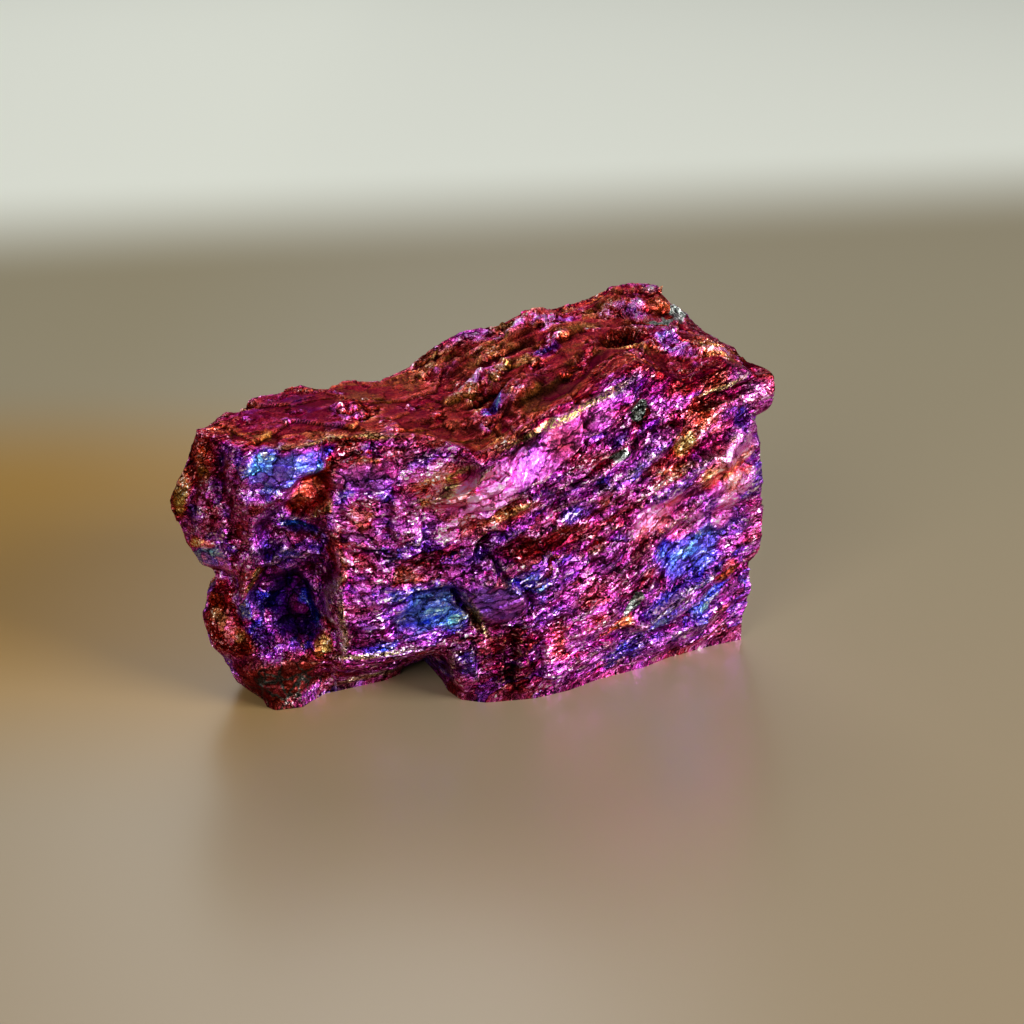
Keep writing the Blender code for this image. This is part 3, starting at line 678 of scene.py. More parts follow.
# %% Patches of the front
# Each as (x, z, half length, half width, turn, steepness, film, tone).
FRONT_PATCHES = (
    # The next patch is painted lighter than the base, to make up for the light that it misses as it faces away.
    (-14, 22, 14, 9, 90, 1.5, 0.49, 1.75),  # the middle of the left, which faces away from the light
    (29, 15, 13, 12, 90, 1.5, 0.56, 1.1),  # lower right
    (-36, 27, 10, 6.5, 90, 2, 0.54, 0.95),
    (-38.8, 30, 5, 1.4, 90, 2, 0.1, 0.9),  # left end
    (-36, 34, 4, 4, 90, 2, 0.18, 0.45),
    (-35, 26.6, 2.2, 1.6, 90, 2, 0.5, 1.1),
    (-36.3, 22.8, 1.4, 1, 0, 2, 0.22, 2.6),
    (-35.2, 20.4, 2.8, 2, 0, 3, 0.66, 3.4),
    (-33.4, 12, 6, 4, 90, 2, 0.2, 0.24),
    (-33.6, 11.4, 2.4, 1.6, 90, 2, 0.13, 1.7),
    (-25, 21, 9, 6, 90, 2.5, 0.5, 1),  # recess
    (-29, 33, 3.6, 3.2, 80, 2, 0.74, 2),  # blue under the bench
    (-24.4, 33.6, 4.8, 2.6, 8, 2, 0.73, 1.9),
    (-18.4, 34.4, 5, 1.7, 4, 2, 0.5, 0.65),
    (-20, 34.6, 2.2, 1, 4, 2, 0.64, 0.45),
    (-29.4, 30.2, 3.4, 2.6, 80, 2, 0.72, 2.5),
    (-16.4, 33.4, 2.2, 0.7, 5, 2.5, 0.14, 0.9),
    (-19.6, 32.8, 3.8, 1.7, 42, 2.5, 0.27, 0.45),  # orange stripe and scoop
    (-22.8, 28.9, 4, 2.5, 50, 3, 0.21, 0.9),
    (-24.4, 23.8, 2.4, 1, 0, 2, 0.76, 0.6),
    (-21.6, 22, 1.8, 1.2, 80, 2, 0.6, 0.8),
    (-24.6, 19.8, 2.8, 1.6, 20, 2, 0.47, 1.4),
    (-20.8, 21, 4.8, 1, 90, 2, 0.34, 0.6),
    (-26, 13, 6.2, 3.6, 100, 2, 0.56, 0.26),  # dark pocket
    (-31.2, 14.6, 1.8, 1.2, 80, 2, 0.6, 1.4),
    (-23.4, 12.6, 2.2, 0.7, 90, 2, 0.78, 0.8),
    (-30.2, 10.2, 3.4, 2.4, 110, 2, 0.58, 0.4),
    (-29.8, 18.4, 1.9, 0.7, 80, 2.5, 0.02, 0.8),  # gold strips
    (-22.8, 9, 2.2, 0.9, 80, 2.5, 0.02, 0.8),
    (-27.5, 4, 7, 4, 10, 2.5, 0.3, 0.3),  # left foot
    (-17, 4.8, 6, 2, 8, 2, 0.42, 0.6),
    (-16.6, 31.4, 4.4, 2.4, 6, 2, 0.44, 0.72),  # blocks between the recess and the slab
    (-17.4, 27.2, 2.8, 2.2, 80, 2, 0.3, 2.1),
    (-13.2, 25.6, 2.2, 2, 0, 2, 0.56, 2.2),
    (-11.6, 26.8, 2.8, 2.4, 10, 2, 0.48, 2.6),
    (-11.8, 32.6, 2.6, 2.4, 80, 3, 0.44, 1.6),
    (-6.4, 34.2, 3.6, 1.9, -20, 2, 0.5, 1.9),
    (-9.4, 28.8, 1.8, 0.8, 30, 2.5, 0.02, 1.2),
    (-14, 22, 5, 1.4, 6, 2, 0.58, 1),
    (-14, 18.6, 4.6, 1.4, 6, 2, 0.36, 1.3),
    (-15, 13.6, 4.4, 2, 14, 2, 0.52, 1.4),
    (-13, 16.4, 3, 1.5, 14, 2, 0.64, 1.6),
    (-15.6, 10, 4.4, 1.4, 14, 2, 0.62, 0.8),
    (-9.4, 13.8, 5.4, 4.1, 25, 2, 0.76, 2.1),  # blue hollow in the middle
    (-8.8, 22, 5, 2.4, 12, 2, 0.44, 0.5),
    (-8.2, 31.6, 5.6, 1.4, 28, 2.5, 0.38, 2.9),  # red wedge
    # The slab and its lip, in the next patches, carry high tones that are partly a painted highlight where they turn up
    # to the light.
    (3, 33.4, 16, 3.6, 29, 3, 0.45, 1.5),  # slab
    (8.4, 37.6, 6, 1.8, 31, 4, 0.41, 0.9),
    (-0.4, 32.2, 6, 2, 30, 3, 0.4, 2.1),
    (-3.6, 30.4, 5.2, 2.6, 26, 2.5, 0.41, 5.3),
    (3.2, 34.6, 4, 1.7, 30, 2, 0.46, 2.8),
    (-4.8, 26.2, 4.2, 2.2, 24, 2.5, 0.33, 5.2),
    (-7.8, 30, 3.8, 2.1, 34, 2.5, 0.33, 6.6),
    (17.2, 40.6, 4.6, 1.6, 34, 2, 0.42, 0.6),
    (13, 31.6, 13, 3.4, 24, 2.5, 0.48, 1.3),
    (14.5, 27.8, 5, 1.8, 24, 2, 0.42, 2),  # dark band
    (17, 35.6, 5, 1.8, 20, 2, 0.5, 0.32),
    (1.6, 27.4, 5.4, 1.3, 18, 2, 0.24, 2.2),
    (9.8, 26.2, 3, 2, 20, 2, 0.67, 1.5),
    (10.8, 28.8, 4.4, 2, 24, 2, 0.6, 2.2),
    (15.5, 29.4, 3.4, 1, 24, 2, 0.56, 0.8),
    (21.6, 28.8, 3.8, 1.8, 24, 2, 0.24, 2.8),  # salmon
    (17, 25.4, 3.6, 1.6, 24, 2, 0.36, 1.1),
    (21.2, 23.4, 5.4, 2.6, 22, 2.5, 0.34, 6.2),
    (24.6, 33, 2.6, 1.9, 40, 2, 0.08, 1.3),  # gold
    (25.6, 36.8, 4.6, 2.8, 20, 2, 0.36, 0.5),
    (27.2, 41.2, 6, 2.2, 8, 2.5, 0.2, 0.25),  # smooth red oval
    (20.6, 42.2, 4.2, 2.6, 20, 2, 0.42, 0.32),
    (28.8, 34.2, 2.6, 1.5, 10, 2.5, 0.42, 2.8),
    (32, 29.8, 5, 3, 12, 2.5, 0.34, 4.6),  # right edge
    (33, 31.4, 3.4, 2.2, 20, 2.5, 0.42, 4.4),
    (31, 28.5, 5.6, 1.6, 6, 2.5, 0.24, 4.4),
    (33, 25.6, 4.2, 2, 4, 3, 0.34, 9.5),
    (32.4, 21.8, 2.8, 2.2, 60, 2.5, 0.38, 4),
    (34, 34.2, 2.2, 1.5, 60, 2.5, 0.58, 0.6),
    (36.4, 36.8, 2.4, 1.4, 30, 2, 0.48, 2.6),
    (27.6, 24.4, 6, 2.2, 16, 2, 0.5, 1.1),
    (26.6, 16.8, 7, 4.8, 12, 2, 0.8, 1.25),  # blue hollow on the right
    (25.6, 17.2, 3.6, 1.1, 14, 2, 0.88, 1.9),
    (26.2, 21.2, 5, 2, 14, 2, 0.48, 4.6),
    (33.4, 17.4, 2.4, 1.6, 30, 2, 0.54, 1.4),
    (24.4, 9.8, 6.6, 3.8, 16, 2, 0.65, 2.4),
    (30.6, 8.6, 4, 2.2, 16, 2, 0.61, 1.9),
    (32.8, 12.6, 2.6, 1.6, 30, 2.5, 0.26, 0.7),
    (26, 4.8, 7, 2, 12, 2, 0.58, 2.5),
    (33, 5.6, 2.2, 1.7, 20, 2, 0.34, 1.3),
    (16.6, 8.8, 2.2, 1.3, 20, 2, 0.08, 1.2),
    (10.5, 8, 7, 4.6, 14, 1.8, 0.26, 0.9),
    (10.8, 8.4, 3.4, 2.2, 30, 2.5, 0.38, 3.2),
    (17.4, 3.4, 3.6, 1.6, 14, 2, 0.64, 0.7),
    (7.5, 22.4, 14, 2.2, 3, 2.5, 0.34, 0.5),  # dark middle
    (-2.4, 22.4, 3, 1.5, 40, 3, 0.4, 0.2),
    (-3.4, 20.6, 3.6, 0.8, 20, 2, 0.44, 0.5),
    (7, 18.6, 8, 1.4, 3, 2, 0.4, 0.8),
    (8.5, 14.6, 7.5, 3, 6, 1.5, 0.37, 1.6),
    (-2, 15.4, 4.4, 3.6, -20, 3, 0.6, 1.6),  # dull facet
    (3.4, 15.8, 3, 1.9, 80, 2.5, 0.54, 1.5),
    (-5.2, 6.4, 3, 1.8, 90, 3, 0.66, 0.9),  # violet block
    (-4.6, 2, 1.6, 1.6, 0, 2, 0.5, 1),
    (-7, 3.8, 1.4, 2, 0, 2, 0.64, 0.8),
    (1, 5.6, 5.4, 3.8, 90, 3, 0.44, 0.23),  # red ribs
)
print("patches on the front:", len(FRONT_PATCHES))

# %% [markdown]
# The top is calmer than the front. Most of it is a dull brown skin, which is a thin film and a low tone, and the
# plates show only where the skin is broken. On both faces, painting a patch moves what was there towards the patch's
# own film and tone, by the share that the mark gives.

# %% Patches of the top
# Each as (x, y, half length, half width, turn, steepness, film, tone).
TOP_PATCHES = (
    (-22, 5, 12, 9, 0, 1.6, 0.34, 0.46),  # bench
    (-26, 0, 5, 2, 10, 2, 0.38, 0.8),
    (-20, 8.5, 4, 2, 10, 2, 0.46, 0.6),
    (-28, 8.5, 3, 2, 20, 2, 0.16, 0.7),
    (-19, -2.6, 3.4, 1.2, 10, 2, 0.36, 0.7),
    (-12, 5.5, 5, 2.6, 0, 2, 0.1, 0.85),
    (-13.6, -1.2, 2.4, 1.2, 10, 2, 0.24, 1.5),
    (-16.8, 3.6, 2.6, 0.9, 20, 2, 0.4, 1.6),
    (0.5, 8, 6, 3, 30, 2, 0.26, 0.8),
    (11.4, -8.6, 11, 4.4, 32, 2, 0.06, 0.33),  # olive trough
    (4.6, -6.6, 3.6, 2.8, 20, 2.5, 0.24, 0.8),  # knob
    (2, -7, 1.8, 1.2, 20, 2.5, 0.66, 1.5),
    (2, 1, 6.6, 1.1, 20, 2, 0.36, 2.6),  # crescent
    (0.8, 11.9, 2.8, 1.6, 20, 2, 0.14, 1.6),
    (8, 11.5, 6.6, 2, -25, 2, 0.4, 2.8),  # flakes along the back
    (16.5, 8, 4.5, 1.6, 5, 2, 0.42, 2.2),
    (12.8, 2.4, 5, 2.6, 10, 2, 0.16, 0.34),
    (12, 0, 2.6, 1.6, 10, 2, 0.52, 0.6),  # dark pit
    (17.5, 2, 3, 1.6, 10, 2, 0.14, 1),
    (19, 11.4, 2.6, 1.4, 0, 2, 0.1, 1.2),
    (21.6, -2.2, 4.8, 3.8, 20, 2.5, 0.1, 0.15),  # orange cavity
    (21, -5.8, 3.4, 1, 20, 2, 0.1, 1.2),
    (28.6, 9.6, 6, 3.6, -10, 2, 0.22, 0.5),  # skin of the peak
    (31, 11, 2, 1, 0, 2, 0.1, 1.6),
    (25, 6.2, 5.4, 2.2, -20, 2, 0.36, 3),
    (27.6, -5.6, 5.6, 2.6, -80, 2, 0.5, 2),  # violet flakes
    (32.6, -8.4, 3.6, 2.2, 10, 2, 0.16, 2.6),
    (29.4, -12.6, 4.4, 2, 10, 2.5, 0.3, 0.5),
    (33.6, 6.4, 3.6, 1.4, 60, 2, 0.3, 3),  # pale vein
    (26, -14, 6, 1.8, 0, 2.5, 0.26, 0.4),
)


def paint(across, up, patches, film, tone):
    """Lays each patch over the ones before it: what was there moves towards the patch by the patch's share."""
    for *place, steepness, own_film, own_tone in patches:
        share = spots(across, up, [(*place, 1.0, steepness)])
        film = film + share * (own_film - film)
        tone = tone + share * (own_tone - tone)
    return film, tone


print("patches on the top:", len(TOP_PATCHES))

# %% [markdown]
# The front looks its film and tone up among the front's patches, and the top among the top's. The back and the ends
# have one film and one tone, which noise and the plates' own chances vary. Then come the effects of light and wear,
# painted into the tone. Hollows get painted shade, gaps and the seam between front and top are darker, and crests that
# stand proud are brighter and redder, partly as worn metal and partly as a painted highlight. The whole top is painted
# darker than the front, as shade.

# %% Film and tone
# The (film, tone) under the patches of the front and of the top, and that of all the rest.
FRONT_BASE, TOP_BASE, REST = (0.46, 1.12), (0.19, 0.68), (0.42, 0.8)
# How far the patches' outlines stray, and the share of that in which finer noise frays them.
STRAY, FRAY, FRAY_SIZE = 1.0, 0.4, 0.35

facing_up = np.clip(3 * outward[:, 2] - 1.5, 0, 1)
facing_front = on_front(outward)
both = np.maximum(1, facing_front + facing_up)
facing_front, facing_up = facing_front / both, facing_up / both
smooth = smoothness(body, outward)
frayed = ragged(body / FRAY_SIZE, STRAY) - body / FRAY_SIZE
drifted = ragged(body, STRAY) + FRAY * frayed
front = paint(drifted[:, 0], drifted[:, 2], FRONT_PATCHES, *FRONT_BASE)
top = paint(drifted[:, 0], drifted[:, 1], TOP_PATCHES, *TOP_BASE)
film, tone = (
    facing_front * f + facing_up * u + (1 - facing_front - facing_up) * other
    for f, u, other in zip(front, top, REST)
)
film += 0.07 * noise(body, 7, 51) + 0.08 * noise(body, 3, 52) + 0.10 * plate_tone
# Crests: proud places of the top, worn and redder in film, and brighter by a painted highlight in the tone.
crest = facing_up * (1 - 0.8 * smooth) * np.clip(near / 0.08, 0, 1)
film += 0.12 * crest
seam = np.clip(1 - abs(outward[:, 2] + outward[:, 1]) / 0.35, 0, 1)
seam = seam * (outward[:, 2] > 0.3) * (outward[:, 1] < -0.3)
# Painted shade and light from the relief: tone falls where a point lies below its neighbours and rises where it stands
# above them, and the spread is stronger on the top.
painted_relief_shading = 1.0 * np.clip(wide, -0.3, 0.2) + 2.1 * np.clip(near, -0.25, 0.10)
contrast = (1 + plate_tone + painted_relief_shading).clip(0.25, 2) ** (1 + 0.8 * facing_up)
tone = tone * (1 - 0.5 * seam) * contrast * (1 - 0.5 * gap * (1 - facing_up))
# Painted shade: facing_up makes the whole top darker than the front, as less light comes back from it there, and crest
# gives its proud edges a painted highlight. The smooth skin is duller.
tone = tone * (1 - 0.58 * facing_up) * (1 - 0.3 * smooth) * (1 + 1.4 * crest)
tone = (1.35 * tone).clip(0.03, 8)
print("film, mean and spread:", film.mean().round(2), film.std().round(2))
print("tone, from dark to bright:", np.percentile(tone, (5, 50, 95)).round(2))

# %% [markdown]
# Not everything on the stone is tarnish. The bench and a few blocks have a dull skin, worn edges show yellow metal,
# and bare rock shows as pale spots and veins. These are marks once more.

# %% Dullness, gold rims and pale spots
# Each as (across, up, half length, half width, turn, share, steepness).
DULL_FRONT = (
    (-27.6, 3.8, 7, 4.4, 10, 0.9, 2),
    (-1.6, 15, 4.6, 3.8, -20, 0.4, 2.5),
    (-10.8, 33.6, 2.4, 2.4, 60, 0.5, 2),
    (-16.6, 31.6, 4, 2, 6, 0.5, 2),
    (31, 40.4, 6, 1.6, 8, 0.7, 2),
)
RIM_FRONT = (
    (-6.6, 30.9, 5.4, 0.5, 40, 1, 1.6),  # the long edge of the slab
    (8.7, 39, 12.6, 0.5, 22, 1, 1.6),
    (-20, 35.9, 12, 0.4, 0, 0.8, 1.6),
    (-16.5, 7.8, 6.6, 0.5, 3, 1, 1.6),
    (-20.4, 12, 6, 0.5, 90, 0.7, 1.6),
    (-3.4, 12, 3.6, 0.6, -62, 1, 1.6),
    (-15.5, 1.5, 7, 0.9, 5, 0.9, 1.4),
    (31, 39.6, 5.5, 0.4, 10, 0.8, 1.6),
)
PALE_FRONT = (
    (18.2, 38.6, 1.7, 1, 60, 1, 2),
    (18, 11.4, 2.4, 0.8, 55, 1, 2.5),
    (15, 32.8, 2.2, 0.5, 10, 1, 2),
    (-27.6, 3.4, 6.6, 4, 10, 0.12, 2),  # the veins of the left foot
)
PALE_TOP = (
    (33.6, 6.4, 3.4, 1.3, 60, 1, 1.8),
    (-36, 2, 2, 0.8, 60, 0.5, 1.6),
    (30.5, 3.4, 3.6, 1.2, -10, 0.25, 1.6),
)

x, y, z = drifted.T
dull = facing_up * smooth + facing_front * spots(x, z, DULL_FRONT)
x, y, z = ragged(body, 0.3).T
worn_seam = (facing_front + 0.7 * seam).clip(0, 1)
rim = worn_seam * spots(x, z, RIM_FRONT) + 0.5 * np.clip(near / 0.16 - 1.2, 0, 1)
pale = facing_front * spots(x, z, PALE_FRONT) + facing_up * spots(x, y, PALE_TOP)
print("points that are dull, rimmed, pale:", [int((mark > 0.2).sum()) for mark in (dull, rim, pale)])

# %% [markdown]
# A material can only look up what the mesh carries, so every number is stored on the mesh, once for each point. Two
# more go with them: how flat a place broke, and the place itself in the grain's coordinates where there are plates.
# Squeezed along the grain, these coordinates later draw the small crystals out into streaks.

# %% Numbers stored on the mesh
# From which x on the crystals are drawn out along the grain, and how far its three coordinates are squeezed.
STREAKS_FROM, STREAK_SQUEEZE = -21, (0.35, 1, 0.6)


def keep(mesh, name, values):
    """Stores one number or one vector for every point of the mesh, for the material to read."""
    kind, field = ("FLOAT", "value") if values.ndim == 1 else ("FLOAT_VECTOR", "vector")
    attribute = mesh.attributes.new(name, kind, "POINT")
    attribute.data.foreach_set(field, values.astype(np.float32).ravel())


layers = {"film": film, "tone": tone, "dull": dull.clip(0, 1), "rim": rim.clip(0, 1), "pale": pale.clip(0, 1)}
streaky = (platiness(body, outward) > 0.5) & (drifted[:, 0] > STREAKS_FROM)
layers["streaky"] = streaky.astype(float)
layers["smooth"] = smooth.clip(0, 1)
layers["flat"] = flatness(body, outward)
layers["place"] = np.where(streaky[:, None], grain_place(body) * STREAK_SQUEEZE, body)
for name, values in layers.items():
    keep(mesh, name, values)
print("kept on the mesh:", ", ".join(layers))

# %% [markdown]
# Materials are made of nodes, and writing node trees by hand gets long. One small class makes a node, sets its inputs
# and links it, whichever of numbers, colours or other nodes' outputs it is given. Its other methods are the sums that
# come up again and again.

# %% A helper for nodes
def linear(red, green, blue):
    """A colour as a screen shows it, 0 to 255, turned into the linear values that shaders use."""
    values = np.array([red, green, blue]) / 255
    return (*np.where(values < 0.04045, values / 12.92, ((values + 0.055) / 1.055) ** 2.4), 1.0)


class Tree:
    """Adds nodes to one node tree. Every method but feed gives an output of the new node."""

    def __init__(self, tree):
        """Keeps the node tree that everything is added to."""
        self.tree = tree

    def add(self, kind, *inputs, out=0, **settings):
        """Makes a node. inputs go to its sockets in order, and those given as None are left alone."""
        node = self.tree.nodes.new(kind)
        for name, value in settings.items():
            setattr(node, name, value)
        sockets = [socket for socket in node.inputs if socket.enabled]
        for socket, value in zip(sockets, inputs):
            self.feed(socket, value)
        return [socket for socket in node.outputs if socket.enabled][out]

    def feed(self, socket, value):
        """Links an output to the socket, or sets the socket to a number, a vector or a colour."""
        if isinstance(value, bpy.types.NodeSocket):
            self.tree.links.new(value, socket)
        elif value is not None:
            socket.default_value = value

    def math(self, operation, *inputs):
        """One of Blender's named operations on numbers."""
        return self.add("ShaderNodeMath", *inputs, operation=operation)

    def product(self, first, second):
        """first times second"""
        return self.math("MULTIPLY", first, second)

    def line(self, value, slope, start):
        """value times slope, plus start"""
        return self.math("MULTIPLY_ADD", value, slope, start)

    def ramp(self, value, low, high, first, last, curve="SMOOTHSTEP"):
        """Goes from first to last while value goes from low to high, in an S-shaped curve or in a LINEAR one."""
        return self.add("ShaderNodeMapRange", value, low, high, first, last, interpolation_type=curve)

    def blend(self, share, first, second):
        """Mixes two numbers: first times what share leaves of 1, plus second times share."""
        return self.add("ShaderNodeMix", share, first, second)

    def mix(self, share, first, second):
        """Mixes two colours in the same way."""
        return self.add("ShaderNodeMix", share, first, second, data_type="RGBA")

    def vector(self, operation, *inputs):
        """One of Blender's named operations on vectors and colours."""
        return self.add("ShaderNodeVectorMath", *inputs, operation=operation)

    def noise(self, place, scale, detail, rough, out=0):
        """Blender's own noise, as a number, or as a colour with out=1."""
        return self.add("ShaderNodeTexNoise", place, scale, detail, rough, out=out)


print("half grey on a screen is", round(linear(128, 128, 128)[0], 2), "in linear light")

# %% [markdown]
# A node group is one box with named sockets, worth making for whatever is used more than once. Two helpers start a
# group and a material, and a third puts a group to use.

# %% Helpers for groups and materials
def new_group(name, inputs, outputs):
    """A node group with these (name, kind) sockets. Gives the group, a Tree for it, and its two ends."""
    group = bpy.data.node_groups.new(name, "ShaderNodeTree")
    for way, sockets in (("INPUT", inputs), ("OUTPUT", outputs)):
        for socket, kind in sockets:
            group.interface.new_socket(socket, in_out=way, socket_type="NodeSocket" + kind)
    return group, Tree(group), group.nodes.new("NodeGroupInput").outputs, group.nodes.new("NodeGroupOutput").inputs


def group_node(tree, group, **inputs):
    """A node that stands for the whole group, with these inputs. Gives all its outputs."""
    node = tree.tree.nodes.new("ShaderNodeGroup")
    node.node_tree = group
    for name, value in inputs.items():
        tree.feed(node.inputs[name], value)
    return node.outputs


def new_material(name):
    """A material with nodes, a Tree for it, and the inputs of its shader."""
    material = bpy.data.materials.new(name)
    material.use_nodes = True
    return material, Tree(material.node_tree), material.node_tree.nodes["Principled BSDF"].inputs


print("groups before the first one:", len(bpy.data.node_groups))

# %% [markdown]
# On the real ore both sides of the film throw light back, and the two waves cancel some colours and strengthen
# others. Working that out is slow and hard to steer. A ramp of ten colours, in the order of a growing film, does the
# same job, so the tarnish is one group: film thickness in, colour out.

# %% Group: tarnish
# Each as (film, colour).
TARNISH = (
    (0.00, (206, 176, 96)),
    (0.10, (214, 126, 70)),
    (0.22, (208, 86, 66)),
    (0.34, (200, 66, 104)),
    (0.44, (196, 68, 160)),
    (0.54, (156, 60, 184)),
    (0.64, (102, 64, 200)),
    (0.76, (66, 92, 214)),
    (0.90, (74, 152, 216)),
    (1.00, (130, 165, 165)),
)


def tarnish_group():
    """Film in, colour out: between two neighbouring films of TARNISH the colour goes from one to the other."""
    group, tree, given, wanted = new_group("tarnish", [("Film", "Float")], [("Colour", "Color")])
    ramp = group.nodes.new("ShaderNodeValToRGB")
    stops = ramp.color_ramp.elements
    for place, colour in TARNISH[1:-1]:
        stops.new(place).color = linear(*colour)
    stops[0].color, stops[-1].color = linear(*TARNISH[0][1]), linear(*TARNISH[-1][1])
    tree.feed(ramp.inputs[0], given["Film"])
    tree.feed(wanted["Colour"], ramp.outputs["Color"])
    return group


tarnish = tarnish_group()
print("tarnish ramp:", len(TARNISH), "colours")

# %% [markdown]
# The sparkle comes from crystal faces a few tenths of a millimetre across, each turned its own way. A Voronoi texture
# gives every cell one random colour, and that colour, read as a direction, tilts the normal of the whole cell. The
# coordinates are squeezed along the grain first, so on the front the little faces are long and thin.

# %% Group: crystal faces
HALF = (0.5, 0.5, 0.5)


def crystal_group():
    """Cells of a Voronoi texture. Normal is the old normal plus Tilt times the cell's random colour less HALF, made
    one long. Chance is the cell's own number from 0 to 1, and Edge is how far a point is from the cell's rim."""
    inputs = [("Place", "Vector"), ("Scale", "Float"), ("Tilt", "Float"), ("Normal", "Vector")]
    outputs = [("Normal", "Vector"), ("Chance", "Float"), ("Edge", "Float")]
    group, tree, given, wanted = new_group("crystal faces", inputs, outputs)
    place, scale, tilt, normal = given[:4]
    colour = tree.add("ShaderNodeTexVoronoi", place, scale, out=1)
    leaning = tree.vector("SCALE", tree.vector("SUBTRACT", colour, HALF), tilt)
    tree.feed(wanted["Normal"], tree.vector("NORMALIZE", tree.vector("ADD", normal, leaning)))
    tree.feed(wanted["Chance"], tree.add("ShaderNodeSeparateColor", colour))
    tree.feed(wanted["Edge"], tree.add("ShaderNodeTexVoronoi", place, scale, feature="DISTANCE_TO_EDGE"))
    return group


crystal_faces = crystal_group()
print("crystal faces:", len(crystal_faces.nodes), "nodes")

# %% [markdown]
# The ore's material puts these together, in three steps. The first gathers every number that the others need: those
# read from the mesh, a few noises, and crystals of three sizes, the smaller ones standing on the larger. Where the
# front broke flat or the skin is smooth, everything is calmer.

# %% Material: the numbers behind it
# The three sizes of crystals, as (cells to the millimetre, tilt, share of its chance in the film, in the light).
CRYSTALS = ((0.36, 0.38, 0.22, 0.6), (1.0, 0.34, 0.06, 0.9), (4.0, 0.38, 0.03, 1.6))


def ore_numbers(tree):
    """Reads the mesh's numbers, and adds: rough, which is less on the skin; grainy, a slow noise's share of what
    flat stretches leave of rough; fibre, a fine noise along the grain; vein, where pale is more than the distance to
    the rim of a large crystal; and chance, the share of painted glints, which few crystals have much of."""
    known = {name: tree.add("ShaderNodeAttribute", attribute_name=name, out=2) for name in layers if name != "place"}
    straight = tree.add("ShaderNodeAttribute", attribute_name="place", out=1)
    where = tree.vector("MULTIPLY", tree.add("ShaderNodeTexCoord", out=3), (1 / MM, 1 / MM, 1 / MM))
    rough = tree.line(known["smooth"], -0.8, 1.0)
    level = tree.line(known["flat"], -0.7, rough)
    region = tree.ramp(tree.noise(where, 0.30, 2.0, 0.5), 0.42, 0.54, 0.2, 1.0)
    grainy = tree.product(region, level)

    wander = tree.vector("SUBTRACT", tree.noise(where, 0.9, 3.0, 0.6, out=1), HALF)
    place = tree.vector("ADD", straight, tree.vector("SCALE", wander, 1.2))
    fibre = tree.noise(tree.vector("MULTIPLY", place, (0.5, 1, 1)), 3.0, 3.0, 0.7)
    fibre = tree.ramp(fibre, 0.40, 0.58, 0.50, 1.4)
    normal = tree.add("ShaderNodeNewGeometry", out=1)
    crystals = []
    for (scale, most, *_), share in zip(CRYSTALS, (rough, level, grainy)):
        tilt = tree.product(share, most)
        faces = group_node(tree, crystal_faces, Place=place, Scale=scale, Tilt=tilt, Normal=normal)
        normal = faces["Normal"]
        crystals.append(faces)
    vein = tree.line(known["pale"], 0.5, tree.product(crystals[0]["Edge"], -1.0))
    known["vein"] = tree.ramp(vein, -0.01, 0.05, 0.0, 1.0, "LINEAR")
    known["chance"] = tree.product(tree.math("POWER", crystals[2]["Chance"], 5.0), grainy)
    known["bare"] = tree.line(region, 0.3, 0.75)
    known["streak"] = tree.noise(place, 0.9, 3.0, 0.6)
    known["fibre"] = tree.blend(tree.product(known["streaky"], level), 1.0, fibre)
    known["speckle"] = tree.noise(place, 6.0, 2.0, 0.6)
    return known | {"rough": rough, "normal": normal, "crystals": crystals}


print("crystals, mm across:", [round(1 / scale, 2) for scale, *_ in CRYSTALS])

# %% [markdown]
# The second step is colour. Streaks and the crystals' chances vary the film, and the tarnish is looked up for it. Dark
# places, painted shade among them, have a deeper colour, and the brightest places and the few glinting crystals are
# mixed towards near-white as a painted highlight. The dull skin, the gold of the rims and the pale spots lie over that.

# %% Material: colour
# GLINT is the near-white of a painted highlight: the few glinting crystals and the brightest tones are mixed towards
# it.
GOLD, PALE, SKIN, GLINT = (224, 200, 120), (150, 160, 154), (118, 60, 46), (255, 222, 226)


def ore_colour(tree, known):
    """The tarnish of the film plus its drift, mixed in turn with GLINT, a painted highlight, and with SKIN, GOLD
    and PALE, each by its own share.
    """
    drift = tree.line(known["streak"], 0.26, -0.285)
    for faces, (_, _, share, _) in zip(known["crystals"], CRYSTALS):
        drift = tree.line(faces["Chance"], share, drift)
    drift = tree.product(drift, tree.line(known["flat"], -0.7, 1.0))
    film = tree.math("MAXIMUM", tree.math("ADD", known["film"], drift), 0.05)
    colour = group_node(tree, tarnish, Film=film)["Colour"]
    deep = tree.vector("SCALE", tree.vector("MULTIPLY", colour, colour), 1.7)
    ripe = tree.ramp(known["tone"], 0.1, 1.4, 0.0, 1.0)
    # Painted highlight: the brightest tones and the crystals with much chance are mixed towards GLINT.
    brightest = tree.ramp(known["tone"], 2.0, 8.0, 0.0, 0.13, "LINEAR")
    glint = tree.math("MAXIMUM", tree.product(known["chance"], 0.45), brightest)
    glinting = tree.mix(glint, tree.mix(ripe, deep, colour), tree.mix(0.55, colour, linear(*GLINT)))
    skinned = tree.mix(tree.product(known["dull"], 0.65), glinting, linear(*SKIN))
    beads = tree.ramp(known["speckle"], 0.42, 0.56, 0.0, 1.0)
    rimmed = tree.mix(tree.product(known["rim"], beads), skinned, linear(*GOLD))
    return tree.mix(known["vein"], rimmed, linear(*PALE))


print("colours over the tarnish: gold", GOLD, "pale", PALE, "skin", SKIN, "glint", GLINT)

# %% [markdown]
# The third step is light: how much of its colour a place sends back. That is the tone times the fine pattern, which
# is made of fibres, of brighter and darker crystals, of the dark cracks between them and of small dots, and the few
# crystals with the most chance are made brighter still as painted glints. Flat stretches have fewer bright crystals
# and wider cracks between the large ones, and are evened out a little. A last curve keeps the brightest places from
# burning out.

# %% Material: light
# The least light that a crack leaves, and what is left of the tone on a gold rim and on a pale vein.
CRACK, RIM_TONE, VEIN_TONE = 0.08, 0.85, 0.8


